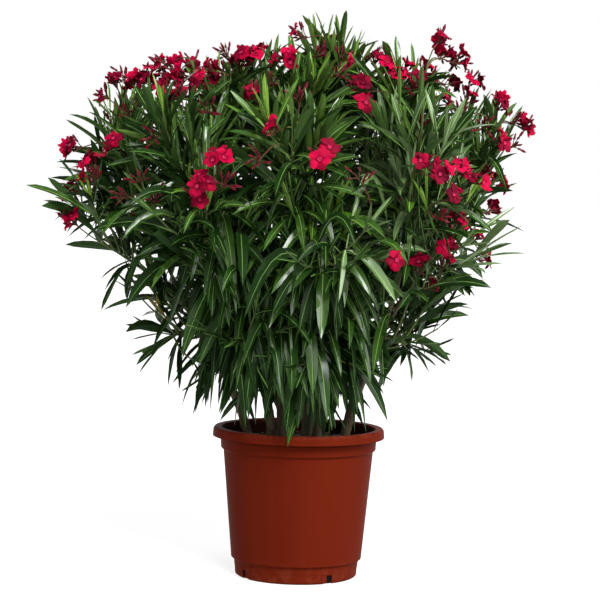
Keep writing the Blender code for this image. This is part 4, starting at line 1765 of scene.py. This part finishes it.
@dataclass
class FlowerMaker:
    """The shapes of an open flower, a bud and a calyx. Each stands on its base and points up +Z."""

    petals: int = 5
    sides: int = 10
    tube: float = 0.013
    tube_foot: float = 0.0014
    throat: float = 0.0050
    petal_length: float = 0.0185
    petal_width: float = 0.0232
    petal_foot: float = 0.28
    petal_widest: float = 0.62
    petal_rounding: float = 0.70
    petal_bluntness: float = 0.13
    petal_start: float = 0.8
    petal_skew: float = 0.22
    petal_thickness: float = 0.0005
    petal_twist: float = 0.0016
    ruffle: float = 0.0026
    ruffle_across: float = 1.3 * math.pi
    ruffle_turn: float = 3.0
    ruffle_out: float = 2.0
    cup: float = 0.0022
    cup_fades: float = 0.3
    lift: Band = (1.25, 0.30)
    lift_play: Band = (-0.20, 0.20)
    curl: Band = (0.1, 0.55)
    curl_play: Band = (-0.25, 0.30)
    turn_play: Band = (-0.10, 0.10)
    # painted shade: petal faces this near the throat, and this share of whole petals, take the next darker
    # petal material
    throat_shade_reach: float = 0.0095
    shaded_petal_share: float = 0.30
    openness: tuple[float, ...] = (0.95, 0.80, 0.66, 0.90, 0.74, 0.50, 0.34, 0.20)
    half_open: int = 5
    corona_top: float = 0.003
    corona_fringe: float = 0.30
    bud_length: float = 0.022
    bud_radius: float = 0.0027
    bud_steps: int = 7
    bud_belly: float = 1.15
    bud_fullness: float = 0.8
    bud_least: float = 0.25
    bud_sides: int = 8
    bud_ridges: int = 4
    bud_ridge: float = 0.13
    bud_wind: float = 1.6
    calyx_top: float = 0.004
    calyx_tooth: float = 0.0012

    def petal(self, lift: float, curl: float, turn: float, deeper: bool) -> bmesh.types.BMesh:
        """One petal: broad and blunt, skewed to one side like a propeller's blade.

        Args:
            lift: How steeply it leaves the throat, in radians from level.
            curl: How far its tip bends back.
            turn: Its bearing round the flower, in radians.
            deeper: Whether all of it, and not only its foot by the throat, is one step darker than the
                flower, as painted shade.

        Returns:
            The closed petal.
        """
        mesh = bmesh.new()
        bmesh.ops.create_grid(mesh, x_segments=4, y_segments=5, size=0.5)
        for vertex in mesh.verts:
            across, out = vertex.co.x * 2, vertex.co.y + 0.5
            swell = math.sin(math.pi / 2 * min(1.0, out / self.petal_widest))
            narrow = self.petal_foot + (1.0 - self.petal_foot) * swell
            past = max(0.0, out - self.petal_widest) / (1.0 - self.petal_widest)
            width = self.petal_width / 2 * narrow * math.sqrt(1.0 - self.petal_rounding * past**2)
            blunt = 1.0 - self.petal_bluntness * across**2 * out
            skew = self.petal_skew * out * out * self.petal_width
            bend = lift - curl * out
            run = self.throat * self.petal_start + self.petal_length * out * blunt * math.cos(bend)
            rise = self.petal_length * out * math.sin(bend) + self.petal_twist * across * out
            wave = self.ruffle_across * across + self.ruffle_turn * turn + self.ruffle_out * out
            cup = self.cup * across**2 * (1.0 - out * self.cup_fades) + self.ruffle * math.sin(wave) * out
            vertex.co = Vector((run, across * width + skew, self.tube + rise + cup))
        bmesh.ops.solidify(mesh, geom=mesh.faces, thickness=self.petal_thickness)
        # painted shade: the faces by the throat, or all of a shaded petal, get the next darker material
        for face in mesh.faces:
            face.material_index = int(deeper or face.calc_center_median().xy.length < self.throat_shade_reach)
        bmesh.ops.rotate(mesh, verts=mesh.verts, matrix=Matrix.Rotation(turn, 3, "Z"))
        return mesh

    def flower(self, dealer: random.Random, openness: float) -> Template:
        """The tube and petals of an open flower.

        Args:
            dealer: The seeded draws.
            openness: 1 for a flat open flower, less for one that is opening.

        Returns:
            The template.
        """
        brim = self.tube + 0.0012
        outline = rounded((
            (0.0, 0.0, 0.0), (self.tube_foot, 0.0, 0.0), (self.tube_foot * 1.3, self.tube * 0.55, 0.003),
            (self.throat, brim, 0.0), (self.throat * 0.86, brim, 0.0),
            (0.0010, self.tube * 0.62, 0.001), (0.0, self.tube * 0.60, 0.0)), 2)
        whole = turned(outline, self.sides)
        for number in range(self.petals):
            lift = blended(*self.lift, openness) + dealer.uniform(*self.lift_play)
            curl = blended(*self.curl, openness) + dealer.uniform(*self.curl_play)
            turn = FULL_TURN * number / self.petals + dealer.uniform(*self.turn_play)
            joined(whole, self.petal(lift, curl, turn, dealer.random() < self.shaded_petal_share))
        return Template(whole)

    def lobed(self, point: Vector, lobes: int) -> float:
        """How near a point's bearing is to one of so many lobes, from -1 to 1."""
        return math.cos(lobes * math.atan2(point.y, point.x))

    def corona(self) -> Template:
        """The pale fringed crown in the throat."""
        outline = (
            (0.0, self.tube * 0.70), (self.throat * 0.60, self.tube + 0.0005),
            (self.throat * 0.76, self.tube + 0.0034), (self.throat * 0.60, self.tube + 0.0036),
            (self.throat * 0.40, self.tube + 0.0016), (0.0, self.tube * 0.80),
        )
        mesh = turned(outline, self.sides)
        for vertex in mesh.verts:
            if vertex.co.z > self.tube + self.corona_top:
                vertex.co.xy *= 1.0 + self.corona_fringe * self.lobed(vertex.co, self.petals)
        return Template(mesh)

    def bud(self) -> Template:
        """A pointed bud of spirally furled petals."""
        outline = [(0.0, 0.0)]
        for step in range(1, self.bud_steps):
            share = step / self.bud_steps
            swell = math.sin(math.pi * share**self.bud_belly) ** self.bud_fullness
            outline.append((self.bud_radius * max(swell, self.bud_least), self.bud_length * share))
        mesh = turned(outline + [(0.0, self.bud_length)], self.bud_sides)
        for vertex in mesh.verts:
            ridge = 1.0 + self.bud_ridge * self.lobed(vertex.co, self.bud_ridges)
            wind = Matrix.Rotation(self.bud_wind * vertex.co.z / self.bud_length, 3, "Z")
            vertex.co = wind @ vertex.co
            vertex.co.xy *= ridge
        return Template(mesh)

    def calyx(self) -> Template:
        """The five-pointed cup under a flower or bud."""
        outline = ((0.0, -0.0015), (0.0012, -0.0010), (0.0024, 0.0012), (0.0021, 0.0046), (0.0, 0.0030))
        mesh = turned(outline, self.sides)
        for vertex in mesh.verts:
            if vertex.co.z > self.calyx_top:
                vertex.co.z += self.calyx_tooth * self.lobed(vertex.co, self.petals)
        return Template(mesh)


@dataclass(frozen=True)
class Spot:
    """A cluster of blossom at the front: its mark in the frame, depth share, flowers and buds."""

    across: float
    down: float
    depth: float
    flowers: int
    buds: int


FRONT_SPOTS = tuple(Spot(*row) for row in (
    (73, 150, 0.45, 3, 3), (93, 165, 0.60, 3, 4), (115, 143, 0.40, 2, 6), (97, 178, 0.60, 1, 6),
    (105, 95, 0.10, 1, 7), (125, 76, 0.10, 0, 8), (141, 83, 0.30, 3, 7), (163, 69, 0.10, 1, 6),
    (174, 78, 0.30, 2, 6), (183, 101, 0.75, 3, 6), (202, 82, 0.50, 3, 6), (141, 180, 0.85, 0, 6),
    (127, 198, 0.80, 0, 6), (156, 201, 0.90, 0, 6), (203, 186, 1.00, 3, 3), (197, 198, 1.00, 1, 2),
    (221, 161, 0.95, 3, 5), (228, 184, 1.00, 0, 7), (215, 74, 0.40, 2, 7), (229, 55, 0.10, 0, 7),
    (241, 67, 0.25, 2, 5), (253, 63, 0.25, 3, 5), (213, 113, 0.80, 0, 6), (253, 98, 0.70, 2, 6),
    (287, 62, 0.45, 3, 4), (301, 38, 0.00, 1, 6), (277, 130, 0.95, 1, 6), (321, 157, 1.00, 2, 2),
    (355, 93, 0.80, 2, 4), (361, 108, 0.85, 2, 3), (371, 61, 0.30, 2, 5), (381, 74, 0.45, 2, 5),
    (395, 80, 0.50, 2, 4), (423, 72, 0.35, 2, 5), (438, 42, 0.15, 2, 3), (440, 58, 0.15, 3, 3),
    (460, 66, 0.10, 2, 3), (469, 81, 0.15, 2, 3), (440, 99, 0.50, 1, 5), (464, 102, 0.40, 1, 6),
    (454, 116, 0.60, 0, 6), (479, 129, 0.50, 0, 8), (497, 108, 0.00, 3, 4), (511, 122, 0.05, 1, 4),
    (525, 129, 0.00, 2, 2), (496, 142, 0.40, 2, 4), (512, 146, 0.20, 0, 5), (422, 163, 0.90, 2, 3),
    (437, 177, 0.90, 2, 3), (457, 174, 0.70, 1, 4), (470, 183, 0.60, 2, 3), (448, 199, 0.85, 2, 3),
    (487, 213, 0.35, 1, 3), (455, 222, 0.75, 2, 6), (436, 218, 0.90, 0, 6), (469, 241, 0.45, 1, 4),
    (440, 251, 0.80, 2, 3), (441, 266, 0.80, 1, 3), (478, 258, 0.30, 1, 5), (392, 261, 0.95, 1, 2),
    (416, 271, 0.80, 1, 3), (425, 288, 0.70, 1, 3), (255, 165, 1.00, 0, 6), (340, 75, 0.60, 0, 7),
    (300, 100, 0.85, 0, 6), (408, 92, 0.70, 0, 8), (130, 115, 0.60, 0, 6), (420, 130, 0.85, 0, 6),
    (355, 165, 1.00, 0, 4), (320, 55, 0.30, 0, 6), (270, 85, 0.60, 0, 6), (155, 140, 0.80, 0, 5),
    (150, 75, 0.15, 2, 2), (189, 79, 0.30, 3, 2), (117, 85, 0.10, 2, 3), (169, 90, 0.55, 2, 2),
    (196, 65, 0.05, 2, 3), (226, 74, 0.30, 2, 2), (157, 86, 0.45, 2, 3), (404, 74, 0.30, 1, 3),
    (415, 84, 0.50, 2, 3), (448, 86, 0.30, 1, 3), (340, 58, 0.20, 1, 4),
))


@dataclass
class Blossom:
    """All the clusters of flowers and buds, on stalks that run on from the shoots' tips."""

    view: View
    crown: Crown
    maker: FlowerMaker = field(default_factory=FlowerMaker)
    seed: int = 77
    edge_depth: float = 0.35
    edge_shut: float = 0.30
    rule_shut: float = 0.15
    dome: float = 0.95
    kept_radius: float = 0.014
    kept_run: float = 0.12
    longest_stalk: float = 0.13
    climb_cost: float = 0.6
    rule_from: float = 0.63
    rule_top: float = 0.93
    rule_behind: float = -0.06
    rule_gap: float = 0.075
    rule_share: float = 0.62
    rule_stalk: Band = (0.030, 0.060)
    rule_up: float = 0.35
    rule_out: float = 0.15
    rule_flowers: tuple[int, ...] = (0, 1, 2, 3, 4)
    rule_buds: tuple[int, int] = (3, 6)
    stalk_radius: float = 0.0014
    stalk_thicker: float = 1.1
    stalk_thinner: float = 0.75
    stalk_sunk: float = 0.006
    stalk_bend: float = 0.55
    stalk_green: float = 0.55
    stalk_brown: float = 0.53
    stalk_short: float = 0.004
    stalk_sides: tuple[int, int] = (5, 6)
    stalk_rings: int = 4
    axis_mix: Place = (0.5, 0.45, 0.45)
    flower_spread: Band = (26.0, 54.0)
    bud_spread: Band = (8.0, 55.0)
    pedicel: Band = (0.011, 0.025)
    pedicel_at: Band = (0.84, 0.98)
    pedicel_radius: float = 0.0009
    pedicel_thicker: float = 1.2
    pedicel_bend: float = 0.4
    pedicel_up: float = 0.1
    flower_pedicel: float = 0.8
    bud_lean: float = 10.0
    bud_scale: Band = (0.45, 1.05)
    young_below: float = 0.62
    face_out: float = 0.55
    face_out_shut: float = 0.1
    face_up: float = 0.15
    shades: tuple[int, ...] = (5, 4, 2)
    shades_shut: tuple[int, ...] = (5, 5, 2)
    flower_scale: Band = (0.76, 0.93)
    more_buds: int = 2
    petal_sharp: float = 75.0
    petals: dict[int, dict[int, list[Matrix]]] = field(default_factory=dict)
    coronas: list[Matrix] = field(default_factory=list)
    buds: dict[int, list[Matrix]] = field(default_factory=lambda: {0: [], 1: []})
    calyces: list[Matrix] = field(default_factory=list)
    stalks: dict[int, list[Twig]] = field(default_factory=lambda: {0: [], 1: []})
    centres: list[Vector] = field(default_factory=list)

    def depth_at(self, spot: Spot) -> float:
        """The Y of a spot: its share of the way from the middle to the crown's front."""
        level = self.view.spot(spot.across, spot.down, 0.0)
        reach = self.crown.reach(Vector((0.0, -1.0, level.z)))
        inner = max(reach**2 - level.x**2, 0.0)
        return -math.sqrt(inner) * self.dome * spot.depth

    def front_tops(self) -> list[Vector]:
        """The middle of each cluster at the front."""
        return [self.view.spot(spot.across, spot.down, self.depth_at(spot)) for spot in FRONT_SPOTS]

    def kept_clear(self) -> list[Stretch]:
        """The stretches in front of the clusters that leaves leave open."""
        kept = []
        for top in self.front_tops():
            ahead = (self.view.place - top).normalized()
            kept.append((top - ahead * self.kept_radius / 2, top + ahead * self.kept_run, self.kept_radius))
        return kept

    def stood(self, place: Vector, way: Vector, scale: float, turn: float) -> Matrix:
        """The matrix that stands a template at a place, pointing a way, scaled and turned."""
        upright = way.to_track_quat("Z", "Y") @ Quaternion(UP, turn)
        return Matrix.Translation(place) @ upright.to_matrix().to_4x4() @ Matrix.Scale(scale, 4)

    def add_cluster(self, dealer: random.Random, tip: Vector, along: Vector, top: Vector,
                    flowers: int, buds: int, shut: float) -> None:
        """Adds a stalk and the flowers and buds round its top.

        Args:
            dealer: The seeded draws.
            tip: The shoot's tip that the stalk grows from.
            along: The shoot's direction there.
            top: The middle of the cluster.
            flowers: How many open flowers it has.
            buds: How many buds.
            shut: The share of the flowers that are only half open.
        """
        self.centres.append(top)
        foot = tip - along * self.stalk_sunk
        bend = foot + along * (top - tip).length * self.stalk_bend
        stalk, thick = Path(foot, bend, top - UP * self.stalk_short), self.stalk_radius
        self.stalks[1].append(Twig(stalk.part(0.0, self.stalk_green), thick * self.stalk_thicker, thick))
        self.stalks[0].append(Twig(stalk.part(self.stalk_brown, 1.0), thick, thick * self.stalk_thinner))
        outward = Vector((top.x, top.y, 0.0)).normalized()
        ways = (stalk.direction(1.0), outward, UP)
        axis = sum((way * share for way, share in zip(ways, self.axis_mix)), Vector()).normalized()
        turn = dealer.uniform(0.0, FULL_TURN)
        for number in range(flowers + buds):
            turn += GOLDEN_TURN
            opened = number < flowers
            spread = dealer.uniform(*(self.flower_spread if opened and flowers > 1 else self.bud_spread))
            way = leaned(axis, spread, turn)
            start = stalk.point(dealer.uniform(*self.pedicel_at))
            reach = dealer.uniform(*self.pedicel) * (self.flower_pedicel if opened else 1.0)
            end = start + way.lerp(UP, self.pedicel_up) * reach
            pedicel = Path(start, start + axis * reach * self.pedicel_bend, end)
            thick = self.pedicel_radius * self.pedicel_thicker
            self.stalks[0].append(Twig(pedicel, thick, self.pedicel_radius))
            self.calyces.append(self.stood(end, way, 1.0, turn))
            if opened:
                self.add_flower(dealer, end, way, outward, dealer.random() < shut)
            else:
                scale = dealer.uniform(*self.bud_scale)
                bud = self.stood(end, leaned(way, self.bud_lean, turn), scale, turn)
                self.buds[int(scale < self.young_below)].append(bud)

    def add_flower(self, dealer: random.Random, place: Vector, way: Vector, outward: Vector,
                   shut: bool) -> None:
        """Adds an open or half-open flower that faces out of the crown.

        Args:
            dealer: The seeded draws.
            place: The flower's foot.
            way: The direction of its stalk.
            outward: The level direction away from the plant's axis.
            shut: Whether it is half open.
        """
        out = self.face_out_shut if shut else self.face_out
        facing = (way + outward * out + UP * self.face_up).normalized()
        weights = self.shades_shut if shut else self.shades
        shade = dealer.choices(range(len(weights)), weights)[0]
        half = self.maker.half_open
        variant = dealer.randrange(half, len(self.maker.openness)) if shut else dealer.randrange(half)
        scale = dealer.uniform(*self.flower_scale)
        matrix = self.stood(place, facing, scale, dealer.uniform(0.0, FULL_TURN))
        self.petals.setdefault(variant, {}).setdefault(shade, []).append(matrix)
        self.coronas.append(matrix)

    def grow_front(self, dealer: random.Random, tips: Sequence[tuple[Vector, Vector]]) -> None:
        """Grows the clusters at the front, each from the nearest shoot's tip."""
        for spot, top in zip(FRONT_SPOTS, self.front_tops()):
            tip, along = min(tips, key=lambda pair: (
                (pair[0] - top).length + self.climb_cost * max(0.0, pair[0].z - top.z)))
            if (top - tip).length > self.longest_stalk:
                top = tip + (top - tip).normalized() * self.longest_stalk
                log.info("the cluster at %d, %d is pulled in", spot.across, spot.down)
            shut = self.edge_shut if spot.depth < self.edge_depth else self.rule_shut
            self.add_cluster(dealer, tip, along, top, spot.flowers, spot.buds + self.more_buds, shut)

    def grow_round(self, dealer: random.Random, tips: Sequence[tuple[Vector, Vector]]) -> None:
        """Grows clusters over the sides, back and top, at the outermost tips.

        Args:
            dealer: The seeded draws.
            tips: The tip and the direction of each shoot.
        """
        for tip, along in tips:
            share = math.hypot(tip.x, tip.y) / self.crown.reach(tip)
            outer = share > self.rule_share or tip.z > self.rule_top
            if tip.z < self.rule_from or not outer or tip.y < self.rule_behind:
                continue
            outward = Vector((tip.x, tip.y, 0.0)).normalized()
            way = (along + UP * self.rule_up + outward * self.rule_out).normalized()
            top = tip + way * dealer.uniform(*self.rule_stalk)
            crowded = any((top - other).length < self.rule_gap for other in self.centres)
            if crowded or not self.crown.holds(top):
                continue
            flowers, buds = dealer.choice(self.rule_flowers), dealer.randint(*self.rule_buds)
            self.add_cluster(dealer, tip, along, top, flowers, buds, self.rule_shut)

    def build(self) -> None:
        """Joins the flowers, throats, buds, cups and stalks, each kind as one piece."""
        dealer = random.Random(self.seed + 1)
        petals, coronas, buds, calyces, stalks = Batch(self.petal_sharp), Batch(), Batch(), Batch(), Batch()
        for variant, openness in enumerate(self.maker.openness):
            template = self.maker.flower(dealer, openness)
            for shade, matrices in self.petals.get(variant, {}).items():
                petals.place(template, matrices, shade)
        coronas.place(self.maker.corona(), self.coronas)
        for young, matrices in self.buds.items():
            buds.place(self.maker.bud(), matrices, young)
        calyces.place(self.maker.calyx(), self.calyces)
        for green, sides in enumerate(self.stalk_sides):
            add_twigs(stalks, self.stalks[green], sides, self.stalk_rings, green)
        kinds = (
            ("petals", petals, PETALS), ("throats", coronas, THROATS), ("buds", buds, BUDS),
            ("calyces", calyces, CALYCES), ("flower_stalks", stalks, STALKS),
        )
        for name, batch, finishes in kinds:
            add_piece(name, batch.mesh(name), finishes)


# Studio


@dataclass(frozen=True)
class Lamp:
    """A soft square lamp."""

    name: str
    power: float
    place: Place


@dataclass(frozen=True)
class Studio:
    """A pale floor, a surround that is white at the horizon and dimmer above, and soft lamps."""

    floor: Colour = (0.22, 0.22, 0.22)
    floor_glow: float = 0.77
    floor_size: float = 60.0
    floor_roughness: float = 0.9
    floor_specular: float = 0.1
    white: Colour = (1.0, 1.0, 1.0)
    horizon: float = 1.0
    overhead: float = 0.20
    band: Band = (0.12, 0.50)
    sun_from: Place = (0.8, -2.3, 3.1)
    sun_power: float = 6.4
    sun_spread: float = 26.0
    lamps: tuple[Lamp, ...] = (
        Lamp("left_lamp", 42.0, (-2.8, -3.2, 1.4)),
        Lamp("right_lamp", 150.0, (3.1, -1.0, 1.9)),
        Lamp("back_lamp", 70.0, (-0.8, 3.6, 2.7)),
    )
    lamp_size: float = 2.2
    aim: Place = (0.0, 0.0, 0.65)

    def add_lamp(self, light: bpy.types.Light, place: Place) -> None:
        """Adds a lamp that faces the plant."""
        lamp = placed(light.name, light)
        lamp.location = place
        lamp.rotation_euler = (Vector(self.aim) - Vector(place)).to_track_quat("-Z", "Y").to_euler()

    def add_floor(self) -> None:
        """Adds the floor, which glows a little so that shadows on it stay faint."""
        mesh = bmesh.new()
        bmesh.ops.create_grid(mesh, x_segments=1, y_segments=1, size=self.floor_size / 2)
        data = poured(mesh, "studio_floor")
        data.materials.append(Graph("studio_floor").dressed({
            "Base Color": self.floor, "Roughness": self.floor_roughness,
            "Specular IOR Level": self.floor_specular,
            "Emission Color": self.white, "Emission Strength": self.floor_glow,
        }))
        floor = placed("studio_floor", data)

    def add_surround(self) -> None:
        """Adds the surround."""
        graph = Graph("studio", world=True)
        way = graph.node("ShaderNodeTexCoord").outputs["Generated"]
        inputs = {
            "Value": graph.node("ShaderNodeSeparateXYZ", None, {0: way}).outputs["Z"],
            "From Min": self.band[0], "From Max": self.band[1],
            "To Min": self.horizon, "To Max": self.overhead,
        }
        dimmed = graph.node("ShaderNodeMapRange", {"interpolation_type": "SMOOTHSTEP"}, inputs).outputs[0]
        bpy.context.scene.world = graph.dressed({"Color": self.white, "Strength": dimmed})

    def build(self) -> None:
        """Adds the floor, the surround and the lamps."""
        self.add_floor()
        self.add_surround()
        bpy.context.scene.view_settings.view_transform = "Standard"
        sun = bpy.data.lights.new("key_lamp", "SUN")
        sun.energy, sun.angle = self.sun_power, math.radians(self.sun_spread)
        self.add_lamp(sun, self.sun_from)
        for lamp in self.lamps:
            soft = bpy.data.lights.new(lamp.name, "AREA")
            soft.energy, soft.size = lamp.power, self.lamp_size
            self.add_lamp(soft, lamp.place)


def main() -> None:
    """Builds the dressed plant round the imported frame."""
    logging.basicConfig(level=logging.INFO, format="%(name)s: %(message)s")
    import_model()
    view = View()
    view.camera()
    Studio().build()
    Pot().build()
    Soil().build()

    plans = [planned(plan) for plan in STEMS]
    stems = [stem for stem, _, _ in plans]
    boughs = [bough for _, its_boughs, _ in plans for bough in its_boughs]
    leaders = [leader for _, _, its_leaders in plans for leader in its_leaders]
    limbs = Limbs()
    limbs.build(stems, "stems", STEM_BARK, "bark")
    limbs.build(boughs, "boughs", BOUGH_BARK, "green_bark")

    crown = Crown()
    blossom = Blossom(view, crown)
    foliage = Foliage(crown, Obstacles(stretches_of(stems + boughs)), Obstacles(blossom.kept_clear()))
    for number, leader in enumerate(leaders):
        foliage.grow(leader, foliage.habit.first_seed + number)
    for number, (plan, stem) in enumerate(zip(STEMS, stems)):
        foliage.dress_stem(plan.name, stem.path, foliage.habit.first_seed - 1 - number)
    foliage.build()

    dealer = random.Random(blossom.seed)
    blossom.grow_front(dealer, foliage.tips)
    blossom.grow_round(dealer, foliage.tips)
    blossom.build()
    log.info("%d flowers in %d clusters", len(blossom.coronas), len(blossom.centres))


if __name__ == "__main__":
    main()
